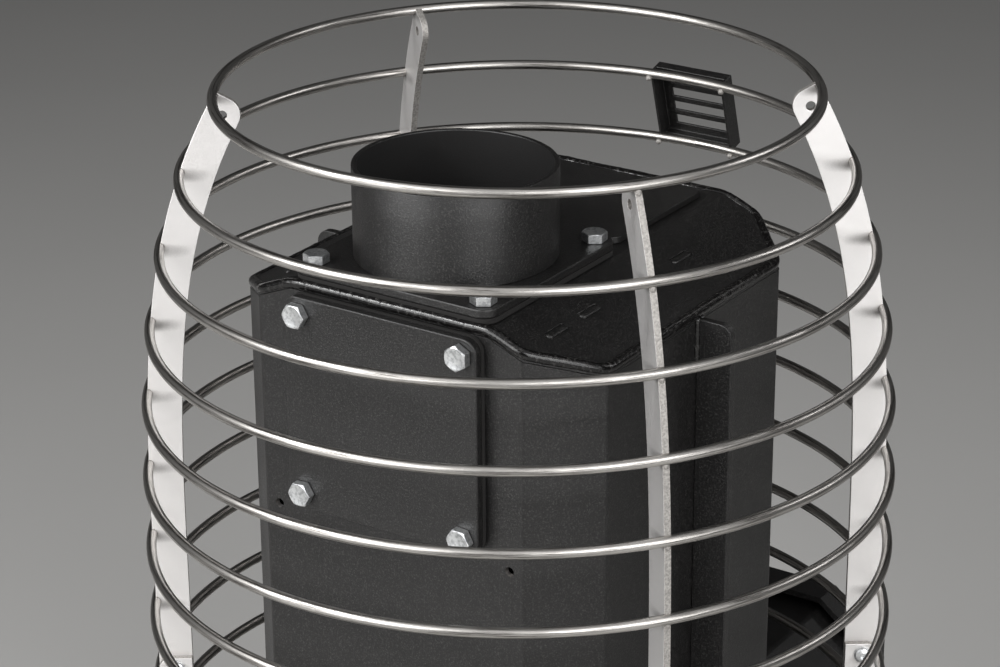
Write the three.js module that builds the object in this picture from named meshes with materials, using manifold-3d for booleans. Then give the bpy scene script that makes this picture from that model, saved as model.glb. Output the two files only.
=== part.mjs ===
// Wood-burning sauna stove: a welded steel body in a stainless stone cage, with a glazed door and ash drawer.
// Millimetres, +Z up. The door faces -Y. The origin is on the floor, in the middle of the footprint.
// Pieces are laid out from the cage's axis, and the whole stove is moved to the origin at the end.
import * as THREE from "three";
import { mergeVertices } from "three/addons/utils/BufferGeometryUtils.js";
import Module from "manifold-3d";

const wasm = await Module();
wasm.setup();

// Gaps shared by all pieces, and how far a cutting shape runs past the face that it cuts
const SEAT_GAP = 0.3;
const HOLE_GAP = 0.4;
const SLIDE_GAP = 0.5;
const OVERCUT = 1;

// Cage
const WIRE_D = 6;
const RING_PITCH = 45;
const UPPER_RINGS = 8;
const LOWER_RINGS = 8;
const LOWEST_RING_Z = 70;
const CAGE_R = 216.5;
const DOME_DRAW_IN = 47.3;
const DOME_POWER = 3.7;
const RIB_WIDTH = 20;
const RIB_T = 4;
const RIB_CORNER_R = 10;
const RIB_OVER_RING = 2.5;
const RIB_HOLE_D = 5.5;
const RIB_HOLE_DOWN = 10.3;
const FRONT_RIB_DEG = 54.4;
const REAR_RIB_DEG = 125.5;
const RIB_LAP = 28;
const RIB_LAP_TOP = 8.5;
const RIB_LAP_CORNER = 7;
const RIB_SCREW_DOWN = 7;
const RIB_SCREW_D = 5;
const RIB_SCREW_HEAD_D = 10.5;
const RIB_SCREW_HEAD_H = 3;
const BADGE_WIDTH = 51;
const BADGE_OVER_RING = 2.5;
const BADGE_DEPTH = 12;
const BADGE_INSIDE = 2.5;
const BADGE_T = 1.5;
const BADGE_SLOTS = 4;
const BADGE_SLOT_HEIGHT = 6;
const BADGE_SLOT_WIDTH = 36;

// Body
const BODY_WIDTH = 239;
const BODY_DEPTH = 252;
const BODY_CORNER = 32.5;
const BODY_WALL = 4;
const BODY_Y = 1.5;
const BODY_TOP_Z = 660;
const TOP_STRIP_WIDTH = 130;
const SHOULDER_DROP = 22;
const TOP_PLATE_T = 5;
const FLOOR_Z = 58;
const FLOOR_T = 4;
const LEG_HEIGHT = 40;
const LEG_FLANK = 20;
const PAD_SIZE = 40;
const PAD_T = 5;
const PAD_INSET = 12;
const FIN_DEPTH = 22;
const FIN_T = 5;
const FIN_BELOW_EDGE = 3.5;
const FIN_CORNER_R = 8;
const SHELL_HOLE_D = 6;
const SHELL_HOLE_SPACING = 156;
const SHELL_HOLE_DOWN = 70.5;
const DOUBLER_WIDTH = 116;
const DOUBLER_LENGTH = 98;
const DOUBLER_T = 4;
const DOUBLER_CORNER_R = 6;
const DOUBLER_GAP = 8;

// Flue outlet on top and blanked outlet at the rear
const FLUE_REAR_INSET = 1.5;
const COLLAR_D = 114;
const COLLAR_WALL = 3;
const COLLAR_HEIGHT = 52;
const GASKET_T = 3;
const FLANGE_SIZE = 130;
const FLANGE_T = 5;
const FLANGE_CORNER_R = 9;
const BOLT_PITCH = 110;
const COVER_SIZE = 127;
const COVER_T = 5;
const COVER_DOWN = 68.5;
const COVER_BOLT_PITCH = 107;
const BOLT_D = 8;
const BOLT_HEAD_AF = 13;
const BOLT_HEAD_H = 5.3;
const BOLT_OVERRUN = 4;

// Baffle box under the top plate
const BAFFLE_WIDTH = 176;
const BAFFLE_T = 4;
const BAFFLE_DOWN = 100;
const BAFFLE_FRONT = 60;
const BAFFLE_REAR_GAP = 12;
const TAB_LENGTH = 16;
const TAB_SINK = 0.6;
const TAB_DISTANCES_FROM_REAR = [34.5, 67.5, 163.5];

// Firebox tunnel, door frame and door
const TUNNEL_WIDTH = 192;
const TUNNEL_STRIP_WIDTH = 132;
const TUNNEL_TOP_Z = 320;
const TUNNEL_SHOULDER_DEG = 38;
const TUNNEL_WALL = 4;
const FRONT_REACH = 280;
const FRAME_T = 5;
const FRAME_LIP = 12;
const FRAME_FOOT = 3;
const FRAME_RIM_T = 4;
const FRAME_RIM_DEPTH = 22;
const SHELF_Z = 122;
const SHELF_T = 4;
const DOOR_OPENING_BOTTOM_Z = 150;
const DOOR_OPENING_INSET = 21;
const DOOR_LAP = 13;
const DOOR_T = 5;
const DOOR_GASKET_T = 6;
const DOOR_GASKET_WIDTH = 8;
const WINDOW_INSET = 35;
const GLASS_T = 4;
const GLASS_LAP = 10;
const GLASS_FRAME_LIP = 8;
const GLASS_FRAME_T = 2;
const HINGE_PIN_D = 6;
const HINGE_PIN_HEAD_D = 10;
const HINGE_PIN_HEAD_H = 4;
const HINGE_KNUCKLE_D = 12;
const HINGE_KNUCKLE_H = 16;
const HINGE_OFFSET = 8;
const HINGE_END_INSET = 12;
const HANDLE_LENGTH = 100;
const HANDLE_BAR_D = 12;
const HANDLE_STUD_D = 8;
const HANDLE_STANDOFF = 24;
const HANDLE_STUD_SPACING = 60;
const HANDLE_EDGE_INSET = 18;

// Grate and ash drawer
const GRATE_LAP = 4;
const GRATE_T = 12;
const GRATE_LENGTH = 196;
const GRATE_SLOTS = 9;
const GRATE_SLOT_WIDTH = 8;
const GRATE_SLOT_PITCH = 18;
const GRATE_SLOT_LENGTH = 150;
const LEDGE_WIDTH = 25;
const LEDGE_T = 4;
const LEDGE_LENGTH = 170;
const DRAWER_WIDTH = 140;
const DRAWER_HEIGHT = 42;
const DRAWER_LENGTH = 330;
const DRAWER_WALL = 2;
const DRAWER_GAP = 4;
const DRAWER_FRONT_T = 4;
const DRAWER_FRONT_LAP = 8;
const PULL_BAR_D = 8;
const PULL_LENGTH = 80;
const PULL_STUD_SPACING = 50;
const PULL_STANDOFF = 16;

// Stone tray
const TRAY_DROP = 9;
const TRAY_T = 3;

// Facets and tolerances of the mesh
const WIRE_SIDES = 6;
const RING_STEPS = 36;
const SMALL_SIDES = 10;
const TUBE_SIDES = 24;
const CORNER_STEPS = 4;
const RIB_CURVE_STEPS = 10;
const MERGE_TOLERANCE = 1e-4;
const SLOPE_STEP = 0.01;

// Places that follow from the sizes above
const RING_COUNT = UPPER_RINGS + LOWER_RINGS;
const wireR = WIRE_D / 2;
const ringZ = (number) => LOWEST_RING_Z + (RING_COUNT - number) * RING_PITCH;
const domeFootZ = ringZ(UPPER_RINGS);
const topRingZ = ringZ(1);
const lapTopZ = ringZ(UPPER_RINGS + 1) + RIB_LAP_TOP;
const trayTopZ = FLOOR_Z - TRAY_DROP;
const bodyRearY = BODY_Y + BODY_DEPTH / 2;
const bodyFrontY = BODY_Y - BODY_DEPTH / 2;
const shoulderSlope = SHOULDER_DROP / ((BODY_WIDTH - TOP_STRIP_WIDTH) / 2);
const flueY = bodyRearY - FLUE_REAR_INSET - FLANGE_SIZE / 2;
const flueBore = COLLAR_D - 2 * COLLAR_WALL;
const boltHoleD = BOLT_D + 2 * HOLE_GAP;
const flangeZ = BODY_TOP_Z + GASKET_T + 2 * SEAT_GAP;
const coverZ = BODY_TOP_Z - COVER_DOWN;
const frameFrontY = -FRONT_REACH;
const frameBackY = frameFrontY + FRAME_T;
const doorBackY = frameFrontY - DOOR_GASKET_T;
const doorFrontY = doorBackY - DOOR_T;
const doorGrow = DOOR_LAP - DOOR_OPENING_INSET;
const doorBottomZ = DOOR_OPENING_BOTTOM_Z - DOOR_LAP;
const doorEdgeX = TUNNEL_WIDTH / 2 + doorGrow;
const windowGrow = doorGrow - WINDOW_INSET;
const windowBottomZ = doorBottomZ + WINDOW_INSET;
const hingeX = -doorEdgeX - HINGE_OFFSET;
const hingeY = doorBackY - HINGE_KNUCKLE_D / 2;
const handleBarY = doorFrontY - HANDLE_STANDOFF - HANDLE_BAR_D / 2;
const drawerOpeningTopZ = FLOOR_Z + FLOOR_T + DRAWER_HEIGHT + 2 * DRAWER_GAP;
const rearReach = CAGE_R + wireR;
const frontReach = HANDLE_BAR_D / 2 - handleBarY;
const axisY = (frontReach - rearReach) / 2;

const finishes = {
  stainless: new THREE.MeshStandardMaterial({ color: 0xb8b8b4, metalness: 1, roughness: 0.34 }),
  blackPaint: new THREE.MeshStandardMaterial({ color: 0x171717, metalness: 0, roughness: 0.42 }),
  zinc: new THREE.MeshStandardMaterial({ color: 0xc6c8ca, metalness: 1, roughness: 0.28 }),
  castIron: new THREE.MeshStandardMaterial({ color: 0x2a2826, metalness: 0.3, roughness: 0.7 }),
  steelPlate: new THREE.MeshStandardMaterial({ color: 0x4a4845, metalness: 0.8, roughness: 0.6 }),
  glass: new THREE.MeshStandardMaterial({ color: 0xd8d2c4, roughness: 0.1, transparent: true, opacity: 0.3 }),
  rope: new THREE.MeshStandardMaterial({ color: 0x8d8880, metalness: 0, roughness: 0.95 }),
  sealant: new THREE.MeshStandardMaterial({ color: 0x3a3733, metalness: 0, roughness: 0.9 }),
};

const stove = new THREE.Group();
stove.position.y = axisY;

function addPiece(name, geometry, finish) {
  const piece = new THREE.Mesh(geometry, finish);
  piece.name = name;
  stove.add(piece);
}

// Solids, joins and cuts

function solidOf(geometry) {
  const loose = geometry.index ? geometry.toNonIndexed() : geometry;
  const bare = new THREE.BufferGeometry().setAttribute("position", loose.getAttribute("position"));
  const merged = mergeVertices(bare, MERGE_TOLERANCE);
  const vertProperties = merged.getAttribute("position").array;
  const triVerts = new Uint32Array(merged.index.array);
  return new wasm.Manifold(new wasm.Mesh({ numProp: 3, vertProperties, triVerts }));
}

function geometryOf(solid) {
  const mesh = solid.getMesh();
  const geometry = new THREE.BufferGeometry();
  geometry.setAttribute("position", new THREE.BufferAttribute(new Float32Array(mesh.vertProperties), 3));
  geometry.setIndex(new THREE.BufferAttribute(new Uint32Array(mesh.triVerts), 1));
  return geometry;
}

function combine(operation, first, others) {
  const result = others.reduce((solid, other) => solid[operation](solidOf(other)), solidOf(first));
  return geometryOf(result);
}

const cut = (first, ...others) => combine("subtract", first, others);
const join = (first, ...others) => combine("add", first, others);
const common = (first, ...others) => combine("intersect", first, others);

// Plain shapes

function block(x0, x1, y0, y1, z0, z1) {
  const geometry = new THREE.BoxGeometry(x1 - x0, y1 - y0, z1 - z0);
  return geometry.translate((x0 + x1) / 2, (y0 + y1) / 2, (z0 + z1) / 2);
}

function rodZ(diameter, x, y, z0, z1, sides = SMALL_SIDES) {
  const geometry = new THREE.CylinderGeometry(diameter / 2, diameter / 2, z1 - z0, sides);
  return geometry.rotateX(Math.PI / 2).translate(x, y, (z0 + z1) / 2);
}

function rodY(diameter, x, z, y0, y1, sides = SMALL_SIDES) {
  const geometry = new THREE.CylinderGeometry(diameter / 2, diameter / 2, y1 - y0, sides);
  return geometry.translate(x, (y0 + y1) / 2, z);
}

function rodX(diameter, y, z, x0, x1, sides = SMALL_SIDES) {
  const geometry = new THREE.CylinderGeometry(diameter / 2, diameter / 2, x1 - x0, sides);
  return geometry.rotateZ(Math.PI / 2).translate((x0 + x1) / 2, y, z);
}

function outline(points) {
  return new THREE.Shape(points.map(([x, y]) => new THREE.Vector2(x, y)));
}

function extruded(shape, depth) {
  return new THREE.ExtrudeGeometry(shape, { depth, bevelEnabled: false, curveSegments: CORNER_STEPS });
}

// A shape drawn in X and Y, standing from z0 to z1.
function slabZ(shape, z0, z1) {
  return extruded(shape, z1 - z0).translate(0, 0, z0);
}

// A shape drawn in X and Z, running from y0 to y1.
function slabY(shape, y0, y1) {
  return extruded(shape, y1 - y0).rotateX(Math.PI / 2).translate(0, y1, 0);
}

function roundedRectangle(width, height, radius, centreY = 0) {
  const right = width / 2 - radius;
  const top = height / 2 - radius;
  const shape = new THREE.Shape();
  shape.absarc(right, centreY + top, radius, 0, Math.PI / 2);
  shape.absarc(-right, centreY + top, radius, Math.PI / 2, Math.PI);
  shape.absarc(-right, centreY - top, radius, Math.PI, 1.5 * Math.PI);
  shape.absarc(right, centreY - top, radius, 1.5 * Math.PI, 2 * Math.PI);
  return shape;
}

const signPairs = [[-1, 1], [1, 1], [-1, -1], [1, -1]];

// Cage

// Radius of the wire's centre: a cylinder below, drawn in above the upper cage's lowest ring.
function cageRadius(z) {
  const rise = Math.max(0, (z - domeFootZ) / (topRingZ - domeFootZ));
  return CAGE_R - DOME_DRAW_IN * rise ** DOME_POWER;
}

function ringTorus(number, tubeR) {
  const z = ringZ(number);
  return new THREE.TorusGeometry(cageRadius(z), tubeR, WIRE_SIDES, RING_STEPS).translate(0, 0, z);
}

const ringNumbers = Array.from({ length: RING_COUNT }, (_, index) => index + 1);

// The lower rings end at the sides of the firebox tunnel, where they are welded on.
function addRings() {
  const tunnelSpace = slabY(tunnelOutline(SEAT_GAP, 0), -2 * CAGE_R, 0);
  for (const number of ringNumbers) {
    const ring = cut(ringTorus(number, wireR), tunnelSpace);
    addPiece(`ring_${String(number).padStart(2, "0")}`, ring, finishes.stainless);
  }
}

// A plate drawn as radius and height, standing radially at an angle from the front, notched for the rings.
function radialPlate(shape, angleDeg, sideShift, holes = []) {
  const plate = slabY(shape, sideShift - RIB_T / 2, sideShift + RIB_T / 2);
  const drilled = holes.length > 0 ? cut(plate, ...holes) : plate;
  drilled.rotateZ(THREE.MathUtils.degToRad(angleDeg - 90));
  return cut(drilled, ...ringNumbers.map((number) => ringTorus(number, wireR + SEAT_GAP)));
}

// Where the rib's outer edge is at a height, with its upward tangent and outward normal.
function ribEdge(z) {
  const slope = (cageRadius(z + SLOPE_STEP) - cageRadius(z - SLOPE_STEP)) / (2 * SLOPE_STEP);
  const tangent = new THREE.Vector2(slope, 1).normalize();
  const normal = new THREE.Vector2(tangent.y, -tangent.x);
  return { point: new THREE.Vector2(cageRadius(z), z), tangent, normal };
}

function fromEdge(edge, up, inward) {
  return edge.point.clone().addScaledVector(edge.tangent, up).addScaledVector(edge.normal, -inward);
}

function upperRibShape() {
  const footZ = lapTopZ - RIB_LAP;
  const heights = Array.from({ length: RIB_CURVE_STEPS + 1 }, (_, index) => {
    return domeFootZ + ((topRingZ - domeFootZ) * index) / RIB_CURVE_STEPS;
  });
  const edges = [footZ, ...heights].map(ribEdge);
  const top = edges[edges.length - 1];
  const corner = Array.from({ length: CORNER_STEPS + 1 }, (_, index) => {
    const turn = (index / CORNER_STEPS) * (Math.PI / 2);
    const up = RIB_OVER_RING - RIB_CORNER_R * (1 - Math.cos(turn));
    return fromEdge(top, up, RIB_WIDTH - RIB_CORNER_R * (1 - Math.sin(turn)));
  });
  const outer = edges.map((edge) => fromEdge(edge, 0, 0));
  const inner = edges.slice(0, -1).map((edge) => fromEdge(edge, 0, RIB_WIDTH)).reverse();
  return new THREE.Shape([...outer, fromEdge(top, RIB_OVER_RING, 0), ...corner, ...inner]);
}

function straightRibShape(z0, z1) {
  const inner = CAGE_R - RIB_WIDTH;
  const corner = [[CAGE_R, z1 - RIB_LAP_CORNER], [CAGE_R - RIB_LAP_CORNER, z1]];
  return outline([[inner, z0], [CAGE_R, z0], ...corner, [inner, z1]]);
}

function addRibs() {
  const screwR = CAGE_R - RIB_WIDTH / 2;
  const screwZ = lapTopZ - RIB_SCREW_DOWN;
  const hole = fromEdge(ribEdge(topRingZ), RIB_OVER_RING - RIB_HOLE_DOWN, RIB_WIDTH / 2);
  const screwHole = rodY(RIB_SCREW_D + 2 * HOLE_GAP, screwR, screwZ, -3 * RIB_T, 3 * RIB_T);
  const topHole = rodY(RIB_HOLE_D, hole.x, hole.y, -RIB_T, RIB_T);
  const stands = { front: FRONT_RIB_DEG, rear: REAR_RIB_DEG };
  for (const [end, angle] of Object.entries(stands)) {
    for (const [side, sign] of [["left", -1], ["right", 1]]) {
      const place = `${end}_${side}`;
      const lapShift = sign * (RIB_T + SEAT_GAP);
      const upper = radialPlate(upperRibShape(), sign * angle, 0, [topHole, screwHole]);
      addPiece(`upper_rib_${place}`, upper, finishes.stainless);
      const lowerShape = straightRibShape(trayTopZ + SEAT_GAP, lapTopZ);
      const lower = radialPlate(lowerShape, sign * angle, lapShift, [screwHole]);
      addPiece(`lower_rib_${place}`, lower, finishes.stainless);
      const headY = lapShift + sign * (RIB_T / 2 + SEAT_GAP);
      const headTop = headY + sign * RIB_SCREW_HEAD_H;
      const tipY = -sign * RIB_T;
      const head = rodY(RIB_SCREW_HEAD_D, screwR, screwZ, Math.min(headY, headTop), Math.max(headY, headTop));
      const shank = rodY(RIB_SCREW_D, screwR, screwZ, Math.min(tipY, headTop), Math.max(tipY, headTop));
      const screw = join(head, shank).rotateZ(THREE.MathUtils.degToRad(sign * angle - 90));
      addPiece(`rib_screw_${place}`, screw, finishes.zinc);
    }
  }
}

// A folded tray on the second and third rings, whose wires sit in notches of its side flanges.
function addBadgeTray() {
  const [high, low] = [2, 3].map((number) => new THREE.Vector2(cageRadius(ringZ(number)), ringZ(number)));
  const lean = Math.atan2(low.x - high.x, high.y - low.y);
  const backY = BADGE_INSIDE;
  const faceY = backY - BADGE_DEPTH;
  const lipY = -wireR - SEAT_GAP;
  const halfWidth = BADGE_WIDTH / 2;
  const footZ = -high.distanceTo(low) / 2;
  const topZ = BADGE_OVER_RING - footZ;
  const outside = block(-halfWidth, halfWidth, faceY, backY, footZ, topZ);
  const inner = halfWidth - BADGE_T;
  const lidZ = topZ - BADGE_T;
  const inside = block(-inner, inner, faceY + BADGE_T, backY + OVERCUT, footZ + BADGE_T, lidZ);
  const wireSpace = block(-inner, inner, lipY, backY + OVERCUT, footZ - OVERCUT, topZ + OVERCUT);
  const slotPitch = (topZ - footZ) / (BADGE_SLOTS + 1);
  const slots = Array.from({ length: BADGE_SLOTS }, (_, index) => {
    const z = footZ + (index + 1) * slotPitch;
    const half = BADGE_SLOT_HEIGHT / 2;
    return block(-BADGE_SLOT_WIDTH / 2, BADGE_SLOT_WIDTH / 2, faceY - OVERCUT, backY, z - half, z + half);
  });
  const tray = cut(outside, inside, wireSpace, ...slots).rotateX(-lean);
  tray.translate(0, -(high.x + low.x) / 2, (high.y + low.y) / 2);
  const seats = [2, 3].map((number) => ringTorus(number, wireR + SEAT_GAP));
  addPiece("badge_tray", cut(tray, ...seats), finishes.blackPaint);
}

// Body

// The body's plan with 45 degree corners, grown outwards evenly.
function bodyOutline(grow) {
  const x = BODY_WIDTH / 2 + grow;
  const y = BODY_DEPTH / 2 + grow;
  const corner = BODY_CORNER + grow * (2 - Math.SQRT2);
  const right = [[x, corner - y], [x, y - corner], [x - corner, y], [corner - x, y]];
  const left = [[-x, y - corner], [-x, corner - y], [corner - x, -y], [x - corner, -y]];
  return outline([...right, ...left].map(([px, py]) => [px, py + BODY_Y]));
}

// Everything below the roof line, which is flat in the middle and slopes down to the side walls.
function underRoof(lift) {
  const half = TOP_STRIP_WIDTH / 2;
  const reach = BODY_WIDTH;
  const eaveZ = BODY_TOP_Z - (reach - half) * shoulderSlope + lift;
  const ridgeZ = BODY_TOP_Z + lift;
  const shape = outline([[-reach, -reach], [reach, -reach], [reach, eaveZ], [half, ridgeZ], [-half, ridgeZ],
    [-reach, eaveZ]]);
  return slabY(shape, -BODY_DEPTH, BODY_DEPTH);
}

const tunnelSlope = THREE.MathUtils.degToRad(TUNNEL_SHOULDER_DEG);
const tunnelSideX = (grow) => TUNNEL_WIDTH / 2 + grow;
const tunnelStripX = (grow) => TUNNEL_STRIP_WIDTH / 2 + grow * Math.tan(tunnelSlope / 2);

// Height where an upright side of the tunnel's outline turns into the sloped shoulder.
function shoulderFootZ(grow) {
  return TUNNEL_TOP_Z + grow - (tunnelSideX(grow) - tunnelStripX(grow)) * Math.tan(tunnelSlope);
}

// Tunnel outline in X and Z: flat top, sloped shoulders, upright sides, grown outwards evenly.
function tunnelOutline(grow, bottomZ) {
  const sideX = tunnelSideX(grow);
  const stripX = tunnelStripX(grow);
  const topZ = TUNNEL_TOP_Z + grow;
  const footZ = shoulderFootZ(grow);
  const right = [[sideX, bottomZ], [sideX, footZ], [stripX, topZ]];
  const left = [[-stripX, topZ], [-sideX, footZ], [-sideX, bottomZ]];
  return outline([...right, ...left]);
}

function boltPlaces(centre, pitch) {
  return signPairs.map(([sx, sy]) => [(sx * pitch) / 2, centre + (sy * pitch) / 2]);
}

const flueBolts = boltPlaces(flueY, BOLT_PITCH);
const coverBolts = boltPlaces(coverZ, COVER_BOLT_PITCH);

function addShell() {
  const hollow = slabZ(bodyOutline(-BODY_WALL), -OVERCUT, BODY_TOP_Z + OVERCUT);
  const tube = cut(slabZ(bodyOutline(0), 0, BODY_TOP_Z), hollow);
  const walls = common(tube, underRoof(-TOP_PLATE_T - SEAT_GAP));
  const floor = slabZ(bodyOutline(-BODY_WALL / 2), FLOOR_Z, FLOOR_Z + FLOOR_T);
  const innerX = BODY_WIDTH / 2 - BODY_WALL / 2;
  const ledgeX = BODY_WIDTH / 2 - BODY_WALL - LEDGE_WIDTH;
  const ledges = [-1, 1].map((sign) => {
    const [x0, x1] = sign < 0 ? [-innerX, -ledgeX] : [ledgeX, innerX];
    return block(x0, x1, BODY_Y - LEDGE_LENGTH / 2, BODY_Y + LEDGE_LENGTH / 2, SHELF_Z, SHELF_Z + LEDGE_T);
  });
  const sideGap = BODY_DEPTH / 2 - BODY_CORNER - LEG_FLANK;
  const endGap = BODY_WIDTH / 2 - BODY_CORNER - LEG_FLANK;
  const underSides = block(-BODY_WIDTH, BODY_WIDTH, BODY_Y - sideGap, BODY_Y + sideGap, -OVERCUT, LEG_HEIGHT);
  const underEnds = block(-endGap, endGap, -BODY_DEPTH, BODY_DEPTH, -OVERCUT, LEG_HEIGHT);
  const padX = BODY_WIDTH / 2 - BODY_CORNER / 2 - PAD_INSET;
  const padY = BODY_DEPTH / 2 - BODY_CORNER / 2 - PAD_INSET;
  const half = PAD_SIZE / 2;
  const pads = signPairs.map(([sx, sy]) => {
    const pad = block(-half, half, -half, half, 0, PAD_T).rotateZ(Math.PI / 4);
    return pad.translate(sx * padX, sy * padY + BODY_Y, 0);
  });
  const mouthShape = tunnelOutline(-TUNNEL_WALL, FLOOR_Z + FLOOR_T);
  const mouth = slabY(mouthShape, bodyFrontY - OVERCUT, bodyFrontY + BODY_CORNER + OVERCUT);
  const [drillY0, drillY1] = [bodyRearY - BODY_WALL - OVERCUT, bodyRearY + OVERCUT];
  const port = rodY(flueBore, 0, coverZ, drillY0, drillY1, TUBE_SIDES);
  const drill = (diameter, x, z) => rodY(diameter, x, z, drillY0, drillY1);
  const boltHoles = coverBolts.map(([x, z]) => drill(boltHoleD, x, z));
  const smallHoleZ = coverZ - SHELL_HOLE_DOWN;
  const smallHoles = [-1, 1].map((sign) => drill(SHELL_HOLE_D, (sign * SHELL_HOLE_SPACING) / 2, smallHoleZ));
  const legs = cut(walls, underSides, underEnds);
  const shell = join(legs, floor, ...ledges, ...pads);
  addPiece("body_shell", cut(shell, mouth, port, ...boltHoles, ...smallHoles), finishes.blackPaint);
}

function addTopPlate() {
  const roof = common(slabZ(bodyOutline(0), 0, BODY_TOP_Z + OVERCUT), underRoof(0));
  const plate = cut(roof, underRoof(-TOP_PLATE_T));
  const flueHole = rodZ(flueBore, 0, flueY, 0, BODY_TOP_Z + OVERCUT, TUBE_SIDES);
  const boltHoles = flueBolts.map(([x, y]) => rodZ(boltHoleD, x, y, 0, BODY_TOP_Z + OVERCUT));
  addPiece("top_plate", cut(plate, flueHole, ...boltHoles, ...tabBlocks(SEAT_GAP)), finishes.blackPaint);
}

// The tabs of the baffle box, which pass through slots in the shoulders.
function tabBlocks(grow) {
  const outer = BAFFLE_WIDTH / 2 + grow;
  const inner = BAFFLE_WIDTH / 2 - BAFFLE_T - grow;
  const half = TAB_LENGTH / 2 + grow;
  const z0 = BODY_TOP_Z - BAFFLE_DOWN;
  return TAB_DISTANCES_FROM_REAR.flatMap((distance) => {
    const [y0, y1] = [bodyRearY - distance - half, bodyRearY - distance + half];
    return [block(inner, outer, y0, y1, z0, BODY_TOP_Z), block(-outer, -inner, y0, y1, z0, BODY_TOP_Z)];
  });
}

function addBaffle() {
  const half = BAFFLE_WIDTH / 2;
  const inner = half - BAFFLE_T;
  const z0 = BODY_TOP_Z - BAFFLE_DOWN;
  const y1 = bodyRearY - BODY_WALL - BAFFLE_REAR_GAP;
  const trough = cut(
    block(-half, half, -BAFFLE_FRONT, y1, z0, BODY_TOP_Z),
    block(-inner, inner, -BAFFLE_FRONT - OVERCUT, y1 + OVERCUT, z0 + BAFFLE_T, BODY_TOP_Z + OVERCUT),
  );
  const hung = common(trough, underRoof(-TOP_PLATE_T - SEAT_GAP));
  const tabs = tabBlocks(0).map((tab) => common(tab, underRoof(-TAB_SINK)));
  addPiece("baffle_box", join(hung, ...tabs), finishes.steelPlate);
}

function addFins() {
  const wallX = BODY_WIDTH / 2 + SEAT_GAP;
  const outerX = BODY_WIDTH / 2 + FIN_DEPTH;
  const z0 = trayTopZ + SEAT_GAP;
  const z1 = BODY_TOP_Z - SHOULDER_DROP - FIN_BELOW_EDGE;
  const shape = new THREE.Shape();
  shape.moveTo(wallX, z0);
  shape.lineTo(outerX, z0);
  shape.absarc(outerX - FIN_CORNER_R, z1 - FIN_CORNER_R, FIN_CORNER_R, 0, Math.PI / 2);
  shape.lineTo(wallX, z1);
  const fin = slabY(shape, -FIN_T / 2, FIN_T / 2);
  addPiece("fin_right", fin, finishes.blackPaint);
  addPiece("fin_left", fin.clone().rotateZ(Math.PI), finishes.blackPaint);
}

function addDoubler() {
  const rearY = flueY - FLANGE_SIZE / 2 - DOUBLER_GAP;
  const shape = roundedRectangle(DOUBLER_WIDTH, DOUBLER_LENGTH, DOUBLER_CORNER_R, rearY - DOUBLER_LENGTH / 2);
  const z0 = BODY_TOP_Z + SEAT_GAP;
  addPiece("top_doubler", slabZ(shape, z0, z0 + DOUBLER_T), finishes.blackPaint);
}

// Flue outlet and rear cover

// A hex bolt along +Z with the underside of its head at z = 0.
function hexBolt(gripLength) {
  const headR = BOLT_HEAD_AF / Math.sqrt(3);
  const head = new THREE.CylinderGeometry(headR, headR, BOLT_HEAD_H, 6).rotateX(Math.PI / 2);
  head.translate(0, 0, BOLT_HEAD_H / 2);
  return join(head, rodZ(BOLT_D, 0, 0, -gripLength - BOLT_OVERRUN, BOLT_HEAD_H / 2));
}

function addFlue() {
  const hole = (z0, z1) => rodZ(flueBore, 0, flueY, z0 - OVERCUT, z1 + OVERCUT, TUBE_SIDES);
  const square = roundedRectangle(FLANGE_SIZE, FLANGE_SIZE, FLANGE_CORNER_R, flueY);
  const drilled = (z0, z1) => {
    const [drillZ0, drillZ1] = [z0 - OVERCUT, z1 + OVERCUT];
    const bolts = flueBolts.map(([x, y]) => rodZ(boltHoleD, x, y, drillZ0, drillZ1));
    return cut(slabZ(square, z0, z1), hole(z0, z1), ...bolts);
  };
  const gasketZ = BODY_TOP_Z + SEAT_GAP;
  addPiece("flue_gasket", drilled(gasketZ, gasketZ + GASKET_T), finishes.sealant);
  addPiece("flue_flange", drilled(flangeZ, flangeZ + FLANGE_T), finishes.blackPaint);
  const collarZ = flangeZ + FLANGE_T + SEAT_GAP;
  const rimZ = collarZ + COLLAR_HEIGHT;
  const collar = cut(rodZ(COLLAR_D, 0, flueY, collarZ, rimZ, TUBE_SIDES), hole(collarZ, rimZ));
  addPiece("flue_collar", collar, finishes.blackPaint);
  const headZ = flangeZ + FLANGE_T + SEAT_GAP;
  const grip = headZ - BODY_TOP_Z + TOP_PLATE_T;
  flueBolts.forEach(([x, y], index) => {
    addPiece(`flue_bolt_${index + 1}`, hexBolt(grip).translate(x, y, headZ), finishes.zinc);
  });
}

function addRearCover() {
  const square = roundedRectangle(COVER_SIZE, COVER_SIZE, FLANGE_CORNER_R, coverZ);
  const drilled = (y0, y1, ...more) => {
    const [drillY0, drillY1] = [y0 - OVERCUT, y1 + OVERCUT];
    const bolts = coverBolts.map(([x, z]) => rodY(boltHoleD, x, z, drillY0, drillY1));
    return cut(slabY(square, y0, y1), ...bolts, ...more);
  };
  const gasketY = bodyRearY + SEAT_GAP;
  const coverY = gasketY + GASKET_T + SEAT_GAP;
  const bore = rodY(flueBore, 0, coverZ, gasketY - OVERCUT, coverY, TUBE_SIDES);
  addPiece("rear_cover_gasket", drilled(gasketY, gasketY + GASKET_T, bore), finishes.sealant);
  addPiece("rear_cover", drilled(coverY, coverY + COVER_T), finishes.blackPaint);
  const headY = coverY + COVER_T + SEAT_GAP;
  coverBolts.forEach(([x, z], index) => {
    const bolt = hexBolt(headY - bodyRearY + BODY_WALL).rotateX(-Math.PI / 2).translate(x, headY, z);
    addPiece(`rear_cover_bolt_${index + 1}`, bolt, finishes.zinc);
  });
}

// Firebox tunnel, door frame and door

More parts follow.
